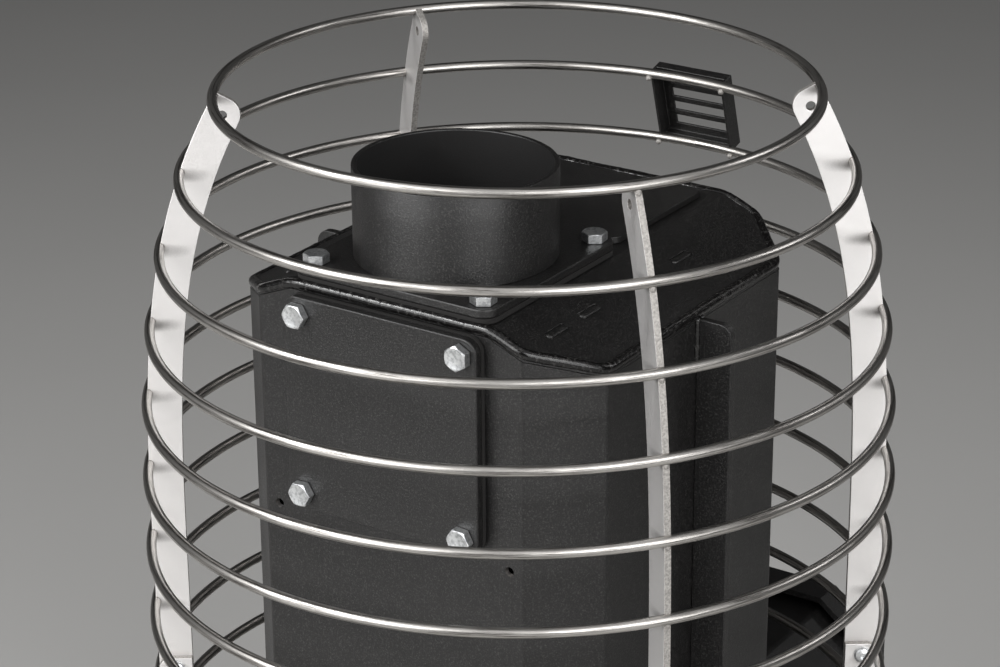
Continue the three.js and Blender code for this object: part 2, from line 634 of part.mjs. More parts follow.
function addTunnel() {
  const [y0, y1] = [frameBackY + SEAT_GAP, bodyFrontY + BODY_CORNER];
  const hollow = slabY(tunnelOutline(-TUNNEL_WALL, FLOOR_Z + FLOOR_T), y0 - OVERCUT, y1 + OVERCUT);
  const sleeve = cut(slabY(tunnelOutline(0, FLOOR_Z), y0, y1), hollow);
  const shelfX = TUNNEL_WIDTH / 2 - TUNNEL_WALL / 2;
  const shelf = block(-shelfX, shelfX, y0, bodyFrontY, SHELF_Z, SHELF_Z + SHELF_T);
  const bodySpace = slabZ(bodyOutline(SEAT_GAP), 0, BODY_TOP_Z);
  addPiece("firebox_tunnel", cut(join(sleeve, shelf), bodySpace), finishes.blackPaint);
}

const knuckleSpans = (() => {
  const step = HINGE_KNUCKLE_H + SLIDE_GAP;
  const low = doorBottomZ + HINGE_END_INSET;
  const high = shoulderFootZ(doorGrow) - HINGE_END_INSET - HINGE_KNUCKLE_H - step;
  return {
    frame: [[low, low + HINGE_KNUCKLE_H], [high + step, high + step + HINGE_KNUCKLE_H]],
    door: [[low + step, low + step + HINGE_KNUCKLE_H], [high, high + HINGE_KNUCKLE_H]],
  };
})();

function pinHole([z0, z1]) {
  return rodZ(HINGE_PIN_D + 2 * HOLE_GAP, hingeX, hingeY, z0 - OVERCUT, z1 + OVERCUT);
}

// A front plate whose rim is turned back round the tunnel, clear of it.
function addDoorFrame() {
  const footZ = FLOOR_Z - FRAME_FOOT;
  const rimBackY = frameFrontY + FRAME_RIM_DEPTH;
  const rimInside = tunnelOutline(FRAME_LIP - FRAME_RIM_T, footZ - OVERCUT);
  const plate = cut(
    slabY(tunnelOutline(FRAME_LIP, footZ), frameFrontY, rimBackY),
    slabY(rimInside, frameBackY, rimBackY + OVERCUT),
  );
  const [y0, y1] = [frameFrontY - OVERCUT, frameBackY + OVERCUT];
  const doorOpening = slabY(tunnelOutline(-DOOR_OPENING_INSET, DOOR_OPENING_BOTTOM_Z), y0, y1);
  const drawerX = DRAWER_WIDTH / 2 + DRAWER_GAP;
  const drawerOpening = block(-drawerX, drawerX, y0, y1, FLOOR_Z + FLOOR_T, drawerOpeningTopZ);
  const half = HINGE_KNUCKLE_D / 2;
  const lugs = knuckleSpans.frame.flatMap(([z0, z1]) => [
    block(hingeX - half, hingeX + half, hingeY, frameFrontY + FRAME_T / 2, z0, z1),
    rodZ(HINGE_KNUCKLE_D, hingeX, hingeY, z0, z1),
  ]);
  const holes = knuckleSpans.frame.map(pinHole);
  const frame = cut(join(plate, ...lugs), doorOpening, drawerOpening, ...holes);
  addPiece("door_frame", frame, finishes.blackPaint);
}

function addDoor() {
  const leaf = slabY(tunnelOutline(doorGrow, doorBottomZ), doorFrontY, doorBackY);
  const windowShape = tunnelOutline(windowGrow, windowBottomZ);
  const windowHole = (y0, y1) => slabY(windowShape, y0 - OVERCUT, y1 + OVERCUT);
  const knuckles = knuckleSpans.door.flatMap(([z0, z1]) => [
    block(hingeX, -doorEdgeX + DOOR_T, doorFrontY, doorBackY, z0, z1),
    rodZ(HINGE_KNUCKLE_D, hingeX, hingeY, z0, z1),
  ]);
  const holes = knuckleSpans.door.map(pinHole);
  const door = cut(join(leaf, ...knuckles), windowHole(doorFrontY, doorBackY), ...holes);
  addPiece("door_leaf", door, finishes.blackPaint);

  const glassGrow = windowGrow + GLASS_LAP;
  const glassBottomZ = windowBottomZ - GLASS_LAP;
  const glassY = doorBackY + SEAT_GAP;
  const glassBackY = glassY + GLASS_T;
  addPiece("door_glass", slabY(tunnelOutline(glassGrow, glassBottomZ), glassY, glassBackY), finishes.glass);

  const holderGrow = glassGrow + GLASS_FRAME_LIP;
  const holderBottomZ = glassBottomZ - GLASS_FRAME_LIP;
  const holderBackY = glassBackY + SEAT_GAP + GLASS_FRAME_T;
  const holder = slabY(tunnelOutline(holderGrow, holderBottomZ), glassY, holderBackY);
  const pocketShape = tunnelOutline(glassGrow + SEAT_GAP, glassBottomZ - SEAT_GAP);
  const pocket = slabY(pocketShape, glassY - OVERCUT, glassBackY + SEAT_GAP);
  addPiece("glass_frame", cut(holder, pocket, windowHole(glassY, holderBackY)), finishes.steelPlate);

  const sealGrow = doorGrow - (DOOR_LAP - DOOR_GASKET_WIDTH) / 2;
  const sealBottomZ = doorBottomZ + (DOOR_LAP - DOOR_GASKET_WIDTH) / 2;
  const [sealY0, sealY1] = [doorBackY + SEAT_GAP, frameFrontY - SEAT_GAP];
  const seal = slabY(tunnelOutline(sealGrow, sealBottomZ), sealY0, sealY1);
  const sealHole = tunnelOutline(sealGrow - DOOR_GASKET_WIDTH, sealBottomZ + DOOR_GASKET_WIDTH);
  addPiece("door_gasket", cut(seal, slabY(sealHole, sealY0 - OVERCUT, sealY1 + OVERCUT)), finishes.rope);

  const pinTop = knuckleSpans.frame[1][1] + SEAT_GAP;
  const pinFoot = knuckleSpans.frame[0][0] - HINGE_PIN_HEAD_H;
  const pin = join(
    rodZ(HINGE_PIN_D, hingeX, hingeY, pinFoot, pinTop + HINGE_PIN_HEAD_H),
    rodZ(HINGE_PIN_HEAD_D, hingeX, hingeY, pinTop, pinTop + HINGE_PIN_HEAD_H),
  );
  addPiece("hinge_pin", pin, finishes.stainless);

  const handleX = doorEdgeX - HANDLE_EDGE_INSET;
  const handleZ = (doorBottomZ + TUNNEL_TOP_Z + doorGrow) / 2;
  const half = HANDLE_LENGTH / 2;
  const bar = rodZ(HANDLE_BAR_D, handleX, handleBarY, handleZ - half, handleZ + half);
  const studs = [-1, 1].map((sign) => {
    const z = handleZ + (sign * HANDLE_STUD_SPACING) / 2;
    return rodY(HANDLE_STUD_D, handleX, z, handleBarY, doorFrontY - SEAT_GAP);
  });
  addPiece("door_handle", join(bar, ...studs), finishes.stainless);
}

// Grate and ash drawer

function addGrate() {
  const half = BODY_WIDTH / 2 - BODY_WALL - LEDGE_WIDTH + GRATE_LAP;
  const z0 = SHELF_Z + LEDGE_T + SEAT_GAP;
  const [y0, y1] = [BODY_Y - GRATE_LENGTH / 2, BODY_Y + GRATE_LENGTH / 2];
  const slots = Array.from({ length: GRATE_SLOTS }, (_, index) => {
    const x = (index - (GRATE_SLOTS - 1) / 2) * GRATE_SLOT_PITCH;
    const [slotX, slotY] = [GRATE_SLOT_WIDTH / 2, GRATE_SLOT_LENGTH / 2];
    return block(x - slotX, x + slotX, BODY_Y - slotY, BODY_Y + slotY, z0 - OVERCUT, z0 + GRATE_T + OVERCUT);
  });
  addPiece("grate", cut(block(-half, half, y0, y1, z0, z0 + GRATE_T), ...slots), finishes.castIron);
}

function addAshDrawer() {
  const half = DRAWER_WIDTH / 2;
  const z0 = FLOOR_Z + FLOOR_T + SLIDE_GAP;
  const z1 = z0 + DRAWER_HEIGHT;
  const panFrontY = frameFrontY - SLIDE_GAP - DRAWER_FRONT_T;
  const y1 = panFrontY + DRAWER_LENGTH;
  const pan = block(-half, half, panFrontY, y1, z0, z1);
  const inner = half - DRAWER_WALL;
  const [insideY0, insideY1] = [panFrontY + DRAWER_FRONT_T, y1 - DRAWER_WALL];
  const inside = block(-inner, inner, insideY0, insideY1, z0 + DRAWER_WALL, z1 + OVERCUT);
  const faceX = half + DRAWER_GAP + DRAWER_FRONT_LAP;
  const faceZ1 = drawerOpeningTopZ + DRAWER_FRONT_LAP;
  const face = block(-faceX, faceX, panFrontY, panFrontY + DRAWER_FRONT_T, z0, faceZ1);
  addPiece("ash_drawer", cut(join(pan, face), inside), finishes.blackPaint);

  const pullZ = (z0 + faceZ1) / 2;
  const barY = panFrontY - PULL_STANDOFF - PULL_BAR_D / 2;
  const bar = rodX(PULL_BAR_D, barY, pullZ, -PULL_LENGTH / 2, PULL_LENGTH / 2);
  const studs = [-1, 1].map((sign) => {
    return rodY(PULL_BAR_D, (sign * PULL_STUD_SPACING) / 2, pullZ, barY, panFrontY - SEAT_GAP);
  });
  addPiece("drawer_pull", join(bar, ...studs), finishes.stainless);
}

function addStoneTray() {
  const disc = rodZ(2 * (CAGE_R + wireR), 0, 0, trayTopZ - TRAY_T, trayTopZ, RING_STEPS);
  const hole = slabZ(bodyOutline(SEAT_GAP), trayTopZ - TRAY_T - OVERCUT, trayTopZ + OVERCUT);
  addPiece("stone_tray", cut(disc, hole), finishes.blackPaint);
}

addRings();
addRibs();
addBadgeTray();
addShell();
addTopPlate();
addBaffle();
addFins();
addDoubler();
addFlue();
addRearCover();
addTunnel();
addDoorFrame();
addDoor();
addGrate();
addAshDrawer();
addStoneTray();

export default stove;
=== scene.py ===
"""Finished surfaces of a wood-burning sauna stove, built around its solids and posed with them."""

import math

import bmesh
import bpy
import numpy as np
from bpy.props import FloatProperty, FloatVectorProperty, PointerProperty
from mathutils import Matrix, Vector, noise


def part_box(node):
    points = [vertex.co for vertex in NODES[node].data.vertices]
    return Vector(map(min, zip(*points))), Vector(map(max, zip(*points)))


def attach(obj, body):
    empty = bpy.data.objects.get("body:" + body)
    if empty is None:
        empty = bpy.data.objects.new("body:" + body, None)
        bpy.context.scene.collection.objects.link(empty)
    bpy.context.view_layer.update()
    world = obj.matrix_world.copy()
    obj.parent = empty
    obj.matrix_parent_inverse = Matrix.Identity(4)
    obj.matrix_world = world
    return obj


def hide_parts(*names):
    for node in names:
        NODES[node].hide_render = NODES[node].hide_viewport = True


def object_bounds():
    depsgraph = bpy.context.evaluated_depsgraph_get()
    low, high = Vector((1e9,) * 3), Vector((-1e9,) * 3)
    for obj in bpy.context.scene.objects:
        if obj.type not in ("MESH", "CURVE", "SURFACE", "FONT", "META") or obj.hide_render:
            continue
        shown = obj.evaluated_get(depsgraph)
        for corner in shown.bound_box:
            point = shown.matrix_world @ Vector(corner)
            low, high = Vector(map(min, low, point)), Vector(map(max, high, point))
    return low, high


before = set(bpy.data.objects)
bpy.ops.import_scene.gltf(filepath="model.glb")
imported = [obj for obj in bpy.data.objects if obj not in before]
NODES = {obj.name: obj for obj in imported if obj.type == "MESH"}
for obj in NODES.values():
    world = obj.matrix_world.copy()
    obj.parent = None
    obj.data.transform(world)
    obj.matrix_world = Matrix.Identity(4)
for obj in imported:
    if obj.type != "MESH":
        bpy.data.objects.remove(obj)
CAD_LOW, CAD_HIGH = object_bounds()
BOXES = {name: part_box(name) for name in NODES}

bl_info = {
    "name": "Sauna stove finish",
    "version": (1, 0, 0),
    "blender": (4, 5, 0),
    "location": "3D View > Sidebar > Stove",
    "description": "Builds the finished surfaces of a wood-burning sauna stove around its solids",
    "category": "Object",
}

MM = 0.001

# Places in the frame
RING_NAMES = sorted(name for name in NODES if name.startswith("ring_"))
UPPER_RINGS = 8
TOP_RING_BOX = BOXES[RING_NAMES[0]]
CAGE_Y = (TOP_RING_BOX[0].y + TOP_RING_BOX[1].y) / 2
CAGE_AXIS = Vector((0, CAGE_Y, 0))
RING_LOWEST = sum(corner.z for corner in BOXES[RING_NAMES[-1]]) / 2
RING_PITCH = (TOP_RING_BOX[0].z - BOXES[RING_NAMES[-1]][0].z) / (len(RING_NAMES) - 1)
TUNNEL_HALF_WIDTH = BOXES["firebox_tunnel"][1].x
TUNNEL_TOP = BOXES["firebox_tunnel"][1].z
RIB_ANGLES = {"front": 54.4, "rear": 125.5}
RIB_SIDES = {"left": -1, "right": 1}

# How far each bolt was turned when it was tightened, in degrees
BOLT_TWISTS = {"flue_bolt": (4, 2, 6, 9), "rear_cover_bolt": (2, 30, 27, 33)}

# Facets of the finished surfaces
WIRE_SIDES = 20
RING_STEPS = 192
ROUND_STEPS = 96
BAR_SIDES = 32
FLAT_TOLERANCE = 1e-5
ARC_TURNS = (math.radians(6), math.radians(32))
SHEET_SMOOTH = 20
WELD_DISTANCE = 1e-6


def linear(hex_colour):
    """An sRGB hex colour as linear red, green and blue."""
    channels = [int(hex_colour[i:i + 2], 16) / 255 for i in (0, 2, 4)]
    return tuple(c / 12.92 if c <= 0.04045 else ((c + 0.055) / 1.055) ** 2.4 for c in channels)


def length(name, default_mm, description):
    """A length property, given in millimetres."""
    return FloatProperty(name=name, description=description, default=default_mm * MM, min=0, unit="LENGTH", precision=4)


def colour(name, default_hex, description):
    """A colour property, given as an sRGB hex value."""
    return FloatVectorProperty(
        name=name, description=description, default=linear(default_hex), size=3, min=0, max=1, subtype="COLOR"
    )


class StoveSizes(bpy.types.PropertyGroup):
    """Sizes of the finished surfaces that the solids leave plain."""

    wire_diameter: length("Wire", 6, "Diameter of the cage's wire")
    rib_width: length("Rib width", 20, "Width of the flat bar of a rib")
    rib_thickness: length("Rib thickness", 4, "Thickness of the flat bar of a rib")
    rib_top: length("Rib top", 2.5, "How far a rib reaches above the centre of the top ring")
    rib_corner: length("Rib corner", 10, "Radius of the inner corner at the top of a rib")
    rib_hole: length("Rib hole", 5.5, "Diameter of the hole at the top of a rib")
    rib_hole_down: length("Rib hole down", 10.3, "How far the hole lies below the top of a rib")
    rib_weld: length("Rib weld", 1.9, "Half width of the weld under a ring")
    lap_corner: length("Lap corner", 7, "Radius of the outer corner at the top of a lower rib")
    dome_power: FloatProperty(
        name="Dome power", description="How late the cage draws in towards its top", default=3.7, min=1, subtype="FACTOR", max=8
    )
    sheet_edge: length("Sheet edge", 0.5, "Rounding of the edges of cut steel plate")
    body_bend: length("Body bend", 5.5, "How far a bend of the body runs to each side of its line")
    roof_bend: length("Roof bend", 6, "How far a bend of the top plate runs to each side of its line")
    weld_bead: length("Weld bead", 3.2, "Radius of the weld bead around the top plate")
    weld_inset: length("Weld inset", 2, "How far the middle of that bead lies inside the plate's rim")
    weld_sink: length("Weld sink", 1.8, "How far the middle of that bead lies under the plate's face")
    tunnel_bead: length("Tunnel bead", 2.6, "Radius of the weld bead between the firebox tunnel and the body")
    weld_pitch: length("Weld pitch", 4.2, "Distance between the ripples of a weld bead")
    body_corner: length("Body corner", 32.5, "How far the cut-off corners of the body reach along its sides")
    rear_thread: length("Rear thread", 6, "Diameter of the two threaded holes in the rear wall")
    rear_thread_spacing: length("Rear thread spacing", 156, "Distance between those holes")
    rear_thread_down: length("Rear thread drop", 70.5, "How far those holes lie under the middle of the rear cover")
    roof_strip: length("Roof strip", 130, "Width of the flat strip in the middle of the top plate")
    collar_wall: length("Collar wall", 3, "Wall of the flue collar")
    bolt_flats: length("Bolt flats", 13, "Width across the flats of a hexagon bolt head")
    bolt_head: length("Bolt head", 5.3, "Height of a hexagon bolt head")
    handle_bar: length("Handle bar", 12, "Diameter of the door handle's bar")
    handle_stud: length("Handle stud", 8, "Diameter of the door handle's studs and of the drawer's pull")


class StoveColours(bpy.types.PropertyGroup):
    """Colours of the finishes."""

    paint: colour("Black paint", "0A0909", "Heat-resistant black paint")
    # Painted highlight: this lighter tone on the tips of the paint's grain paints in the glints of its sandy surface.
    paint_dust: colour("Black paint, dusty", "363534", "The same paint on the tips of its grain")
    wire: colour("Stainless wire", "BBB8B4", "Drawn stainless wire")
    wire_streak: colour("Stainless wire streaks", "44403D", "Drawing marks along the wire")
    sheet: colour("Stainless sheet", "F0EEED", "Pickled stainless sheet")
    cut_edge: colour("Cut stainless edge", "9C9996", "Dark grain on the laser-cut edges of the ribs")
    # Weld tint together with painted shadow: this grey is the band under each ring, where the wire's shadow is painted
    # onto the rib.
    heat_tint: colour("Heat tint", "6E6B69", "Sheet tinted by the heat of a weld")
    zinc: colour("Zinc plate", "E2E4E5", "Bright zinc on bolts and screws")
    zinc_dull: colour("Zinc plate, dull", "B2B4B6", "Zinc that has dulled")
    steel: colour("Hot-rolled steel", "4B4743", "Bare hot-rolled sheet")
    iron: colour("Cast iron", "2C2A28", "Sand-cast iron")
    glass: colour("Glass ceramic", "F2EBDD", "Clear glass ceramic, faintly amber")
    rope: colour("Glass rope", "9B968D", "Braided glass fibre rope")
    # Near black partly as painted shade: the gasket's edge lies in the shaded gap under a plate.
    gasket: colour("Fibre gasket", "1B1918", "Pressed ceramic fibre sheet")
    floor: colour("Floor", "BCBBB9", "Plain pale studio floor")


def sizes():
    return bpy.context.scene.stove_sizes


def colours():
    return bpy.context.scene.stove_colours


# Materials


def add_node(tree, kind, inputs=None, **settings):
    """Adds a shader node, with its settings, and with a value or a link for each input that is given."""
    made = tree.nodes.new(kind)
    for name, value in settings.items():
        setattr(made, name, value)
    for name, value in (inputs or {}).items():
        if isinstance(value, bpy.types.NodeSocket):
            tree.links.new(value, made.inputs[name])
        else:
            made.inputs[name].default_value = value
    return made


def per_mm(size_mm):
    """The scale at which a pattern's features are about this many millimetres wide."""
    return 1 / (size_mm * MM)


def rgba(value):
    return (*value, 1)


def new_material(name):
    material = bpy.data.materials.new(name)
    material.use_nodes = True
    material.node_tree.nodes.clear()
    return material, material.node_tree


def surface(tree, shader):
    add_node(tree, "ShaderNodeOutputMaterial", {"Surface": shader.outputs[0]})


def painted_steel(name, dust, gloss, ior, grain_mm, depth_mm):
    """Sprayed silicone paint on steel: near black, with a sandy grain that breaks a highlight into fine specks, and
    lighter painted highlight specks on the tips of the grain.
    """
    material, tree = new_material(name)
    where = add_node(tree, "ShaderNodeTexCoord").outputs["Object"]
    cloud = add_node(tree, "ShaderNodeTexNoise", {"Vector": where, "Scale": per_mm(60), "Detail": 3})
    sand = add_node(tree, "ShaderNodeTexNoise", {"Vector": where, "Scale": per_mm(grain_mm), "Detail": 3, "Roughness": 0.7})
    # The lighter tone on the tips of the grain is painted highlight, glints painted into the colour.
    tone = add_node(tree, "ShaderNodeValToRGB", {"Fac": sand.outputs["Fac"]})
    tone.color_ramp.elements[0].position = 0.52
    tone.color_ramp.elements[0].color = rgba(colours().paint)
    tone.color_ramp.elements[1].position = 0.68
    tone.color_ramp.elements[1].color = rgba(dust)
    rough = add_node(
        tree, "ShaderNodeMapRange",
        {"Value": cloud.outputs["Fac"], "From Min": 0.3, "From Max": 0.7, "To Min": gloss - 0.04, "To Max": gloss + 0.04},
    )
    bump = add_node(tree, "ShaderNodeBump", {"Height": sand.outputs["Fac"], "Distance": depth_mm * MM})
    shader = add_node(
        tree, "ShaderNodeBsdfPrincipled",
        {"Base Color": tone.outputs["Color"], "Roughness": rough.outputs["Result"], "IOR": ior,
         "Normal": bump.outputs["Normal"]},
    )
    surface(tree, shader)
    return material


def black_paint():
    # The grain is about 0.3 mm wide on the real paint, and is drawn at 1 mm so that it shows.
    return painted_steel("sprayed_silicone_paint_on_steel", colours().paint_dust, 0.4, 1.55, 1, 0.22)


def black_paint_on_weld():
    # Paint flows thicker and glossier over the smooth ripples of a weld.
    return painted_steel("sprayed_silicone_paint_on_weld", colours().paint_dust, 0.2, 1.5, 2.5, 0.12)


def dry_paint_in_flue():
    # Spray that drifts into the pipe dries before it lands, so the inside is matt and takes no highlight.
    return painted_steel("dry_silicone_overspray_in_pipe", colours().paint, 0.85, 1.4, 1, 0.22)


def drawn_stainless():
    """Stainless wire pulled through a die: bright, with streaks that run along it."""
    material, tree = new_material("drawn_stainless_wire")
    where = add_node(tree, "ShaderNodeUVMap", uv_map="along_and_around").outputs["UV"]
    # The drawing marks are about 0.1 mm wide, and are drawn at 1.4 mm so that they show.
    stretched = add_node(tree, "ShaderNodeMapping", {"Vector": where, "Scale": (per_mm(60), per_mm(1.4), 1)})
    streaks = add_node(
        tree, "ShaderNodeTexNoise", {"Vector": stretched.outputs["Vector"], "Scale": 1, "Detail": 5, "Roughness": 0.72}
    )
    tone = add_node(tree, "ShaderNodeValToRGB", {"Fac": streaks.outputs["Fac"]})
    tone.color_ramp.elements[0].position = 0.36
    tone.color_ramp.elements[0].color = rgba(colours().wire_streak)
    tone.color_ramp.elements[1].position = 0.54
    tone.color_ramp.elements[1].color = rgba(colours().wire)
    rough = add_node(
        tree, "ShaderNodeMapRange",
        {"Value": streaks.outputs["Fac"], "From Min": 0.3, "From Max": 0.7, "To Min": 0.42, "To Max": 0.3},
    )
    bump = add_node(tree, "ShaderNodeBump", {"Height": streaks.outputs["Fac"], "Strength": 0.35, "Distance": 0.08 * MM})
    shader = add_node(
        tree, "ShaderNodeBsdfPrincipled",
        {"Base Color": tone.outputs["Color"], "Metallic": 1, "Roughness": rough.outputs["Result"],
         "Normal": bump.outputs["Normal"]},
    )
    surface(tree, shader)
    return material


def pickled_stainless():
    """Laser-cut stainless sheet, pickled after welding: nearly white and matt, with a grey band under each ring that is
    weld tint together with a painted shadow of the wire, darkest by the outer edge.
    """
    material, tree = new_material("pickled_stainless_sheet")
    where = add_node(tree, "ShaderNodeTexCoord").outputs["Object"]
    # The grain is about 0.2 mm wide on the real sheet, and is drawn at 0.9 mm so that it shows.
    grain = add_node(tree, "ShaderNodeTexNoise", {"Vector": where, "Scale": per_mm(0.9), "Detail": 3})
    cloud = add_node(tree, "ShaderNodeTexNoise", {"Vector": where, "Scale": per_mm(14), "Detail": 2})
    in_and_up = add_node(tree, "ShaderNodeUVMap", uv_map="in_and_up").outputs["UV"]
    spot = add_node(tree, "ShaderNodeSeparateXYZ", {"Vector": in_and_up})
    # Painted shadow of each ring's wire, with weld tint: a grey band centred just under each ring, strongest by the
    # rib's outer edge and fading inwards.
    above = add_node(tree, "ShaderNodeMath", {0: spot.outputs["Y"], 1: RING_LOWEST - 2 * MM}, operation="SUBTRACT")
    away = add_node(tree, "ShaderNodeMath", {0: above.outputs["Value"], 1: RING_PITCH / 2}, operation="PINGPONG")
    heat = add_node(
        tree, "ShaderNodeMapRange", {"Value": away.outputs["Value"], "From Max": 5.5 * MM, "To Min": 1, "To Max": 0},
        interpolation_type="SMOOTHSTEP",
    )
    near = add_node(
        tree, "ShaderNodeMapRange",
        {"Value": spot.outputs["X"], "From Min": 3 * MM, "From Max": 19 * MM, "To Min": 1.3, "To Max": 0.1},
    )
    clouded = add_node(
        tree, "ShaderNodeMath", {0: heat.outputs["Result"], 1: cloud.outputs["Fac"]}, operation="MULTIPLY"
    )
    spread = add_node(
        tree, "ShaderNodeMath", {0: clouded.outputs["Value"], 1: near.outputs["Result"]}, operation="MULTIPLY"
    )
    mottled = add_node(
        tree, "ShaderNodeMath", {0: grain.outputs["Fac"], 1: 0.1, 2: spread.outputs["Value"]}, operation="MULTIPLY_ADD"
    )
    tone = add_node(tree, "ShaderNodeValToRGB", {"Fac": mottled.outputs["Value"]})
    tone.color_ramp.elements[0].position = 0.1
    tone.color_ramp.elements[0].color = rgba(colours().sheet)
    tone.color_ramp.elements[1].position = 1
    tone.color_ramp.elements[1].color = rgba(colours().heat_tint)
    rough = add_node(
        tree, "ShaderNodeMapRange",
        {"Value": grain.outputs["Fac"], "From Min": 0.3, "From Max": 0.7, "To Min": 0.44, "To Max": 0.56},
    )
    bump = add_node(tree, "ShaderNodeBump", {"Height": grain.outputs["Fac"], "Strength": 0.3, "Distance": 0.1 * MM})
    shader = add_node(
        tree, "ShaderNodeBsdfPrincipled",
        {"Base Color": tone.outputs["Color"], "Metallic": 1, "Roughness": rough.outputs["Result"],
         "Normal": bump.outputs["Normal"]},
    )
    surface(tree, shader)
    return material


def laser_cut_edge():
    """The cut edges of that sheet: greyer, and grainy from the laser."""
    material, tree = new_material("laser_cut_stainless_edge")
    where = add_node(tree, "ShaderNodeTexCoord").outputs["Object"]
    # The grain is about 0.3 mm wide on the real edge, and is drawn at 1.2 mm so that it shows.
    grain = add_node(tree, "ShaderNodeTexNoise", {"Vector": where, "Scale": per_mm(1.2), "Detail": 3})
    tone = add_node(tree, "ShaderNodeValToRGB", {"Fac": grain.outputs["Fac"]})
    tone.color_ramp.elements[0].position = 0.35
    tone.color_ramp.elements[0].color = rgba(colours().cut_edge)
    tone.color_ramp.elements[1].position = 0.65
    tone.color_ramp.elements[1].color = rgba(colours().wire)
    bump = add_node(tree, "ShaderNodeBump", {"Height": grain.outputs["Fac"], "Distance": 0.2 * MM})
    shader = add_node(
        tree, "ShaderNodeBsdfPrincipled",
        {"Base Color": tone.outputs["Color"], "Metallic": 1, "Roughness": 0.68, "Normal": bump.outputs["Normal"]},
    )
    surface(tree, shader)
    return material


def zinc_plate():
    """Bright zinc on pressed steel: a silvery skin, mottled where the plating crystals and handling dulled it."""
    material, tree = new_material("bright_zinc_plated_steel")
    where = add_node(tree, "ShaderNodeTexCoord").outputs["Object"]
    mottle = add_node(tree, "ShaderNodeTexNoise", {"Vector": where, "Scale": per_mm(2.2), "Detail": 4, "Roughness": 0.6})
    tone = add_node(tree, "ShaderNodeValToRGB", {"Fac": mottle.outputs["Fac"]})
    tone.color_ramp.elements[0].position = 0.35
    tone.color_ramp.elements[0].color = rgba(colours().zinc_dull)
    tone.color_ramp.elements[1].position = 0.55
    tone.color_ramp.elements[1].color = rgba(colours().zinc)
    rough = add_node(
        tree, "ShaderNodeMapRange",
        {"Value": mottle.outputs["Fac"], "From Min": 0.3, "From Max": 0.7, "To Min": 0.46, "To Max": 0.3},
    )
    bump = add_node(tree, "ShaderNodeBump", {"Height": mottle.outputs["Fac"], "Strength": 0.25, "Distance": 0.1 * MM})
    shader = add_node(
        tree, "ShaderNodeBsdfPrincipled",
        {"Base Color": tone.outputs["Color"], "Metallic": 1, "Roughness": rough.outputs["Result"],
         "Normal": bump.outputs["Normal"]},
    )
    surface(tree, shader)
    return material


def hot_rolled_steel():
    """Bare hot-rolled sheet: dark blue-grey mill scale with rust-brown clouds, half matt."""
    material, tree = new_material("hot_rolled_steel_sheet")
    where = add_node(tree, "ShaderNodeTexCoord").outputs["Object"]
    scale = add_node(tree, "ShaderNodeTexNoise", {"Vector": where, "Scale": per_mm(12), "Detail": 5, "Roughness": 0.65})
    tone = add_node(tree, "ShaderNodeValToRGB", {"Fac": scale.outputs["Fac"]})
    tone.color_ramp.elements[0].position = 0.3
    tone.color_ramp.elements[0].color = rgba(linear("2E2F31"))
    tone.color_ramp.elements[1].position = 0.7
    tone.color_ramp.elements[1].color = rgba(colours().steel)
    bump = add_node(tree, "ShaderNodeBump", {"Height": scale.outputs["Fac"], "Strength": 0.2, "Distance": 0.1 * MM})
    shader = add_node(
        tree, "ShaderNodeBsdfPrincipled",
        {"Base Color": tone.outputs["Color"], "Metallic": 0.7, "Roughness": 0.55, "Normal": bump.outputs["Normal"]},
    )
    surface(tree, shader)
    return material


def cast_iron():
    """Sand-cast iron: dark and matt, with the grain of the mould's sand."""
    material, tree = new_material("sand_cast_iron")
    where = add_node(tree, "ShaderNodeTexCoord").outputs["Object"]
    sand = add_node(tree, "ShaderNodeTexNoise", {"Vector": where, "Scale": per_mm(1.2), "Detail": 4, "Roughness": 0.7})
    tone = add_node(tree, "ShaderNodeValToRGB", {"Fac": sand.outputs["Fac"]})
    tone.color_ramp.elements[0].position = 0.3
    tone.color_ramp.elements[0].color = rgba(linear("1B1A19"))
    tone.color_ramp.elements[1].position = 0.7
    tone.color_ramp.elements[1].color = rgba(colours().iron)
    bump = add_node(tree, "ShaderNodeBump", {"Height": sand.outputs["Fac"], "Strength": 0.6, "Distance": 0.3 * MM})
    shader = add_node(
        tree, "ShaderNodeBsdfPrincipled",
        {"Base Color": tone.outputs["Color"], "Metallic": 0.4, "Roughness": 0.68, "Normal": bump.outputs["Normal"]},
    )
    surface(tree, shader)
    return material


def glass_ceramic():
    """Rolled glass ceramic: clear with a faint amber tint, and a soft waviness in its reflections."""
    material, tree = new_material("rolled_glass_ceramic")
    where = add_node(tree, "ShaderNodeTexCoord").outputs["Object"]
    wave = add_node(tree, "ShaderNodeTexNoise", {"Vector": where, "Scale": per_mm(40), "Detail": 1})
    bump = add_node(tree, "ShaderNodeBump", {"Height": wave.outputs["Fac"], "Strength": 0.05, "Distance": 0.2 * MM})
    shader = add_node(
        tree, "ShaderNodeBsdfPrincipled",
        {"Base Color": rgba(colours().glass), "Roughness": 0.03, "IOR": 1.54, "Transmission Weight": 1,
         "Normal": bump.outputs["Normal"]},
    )
    surface(tree, shader)
    return material


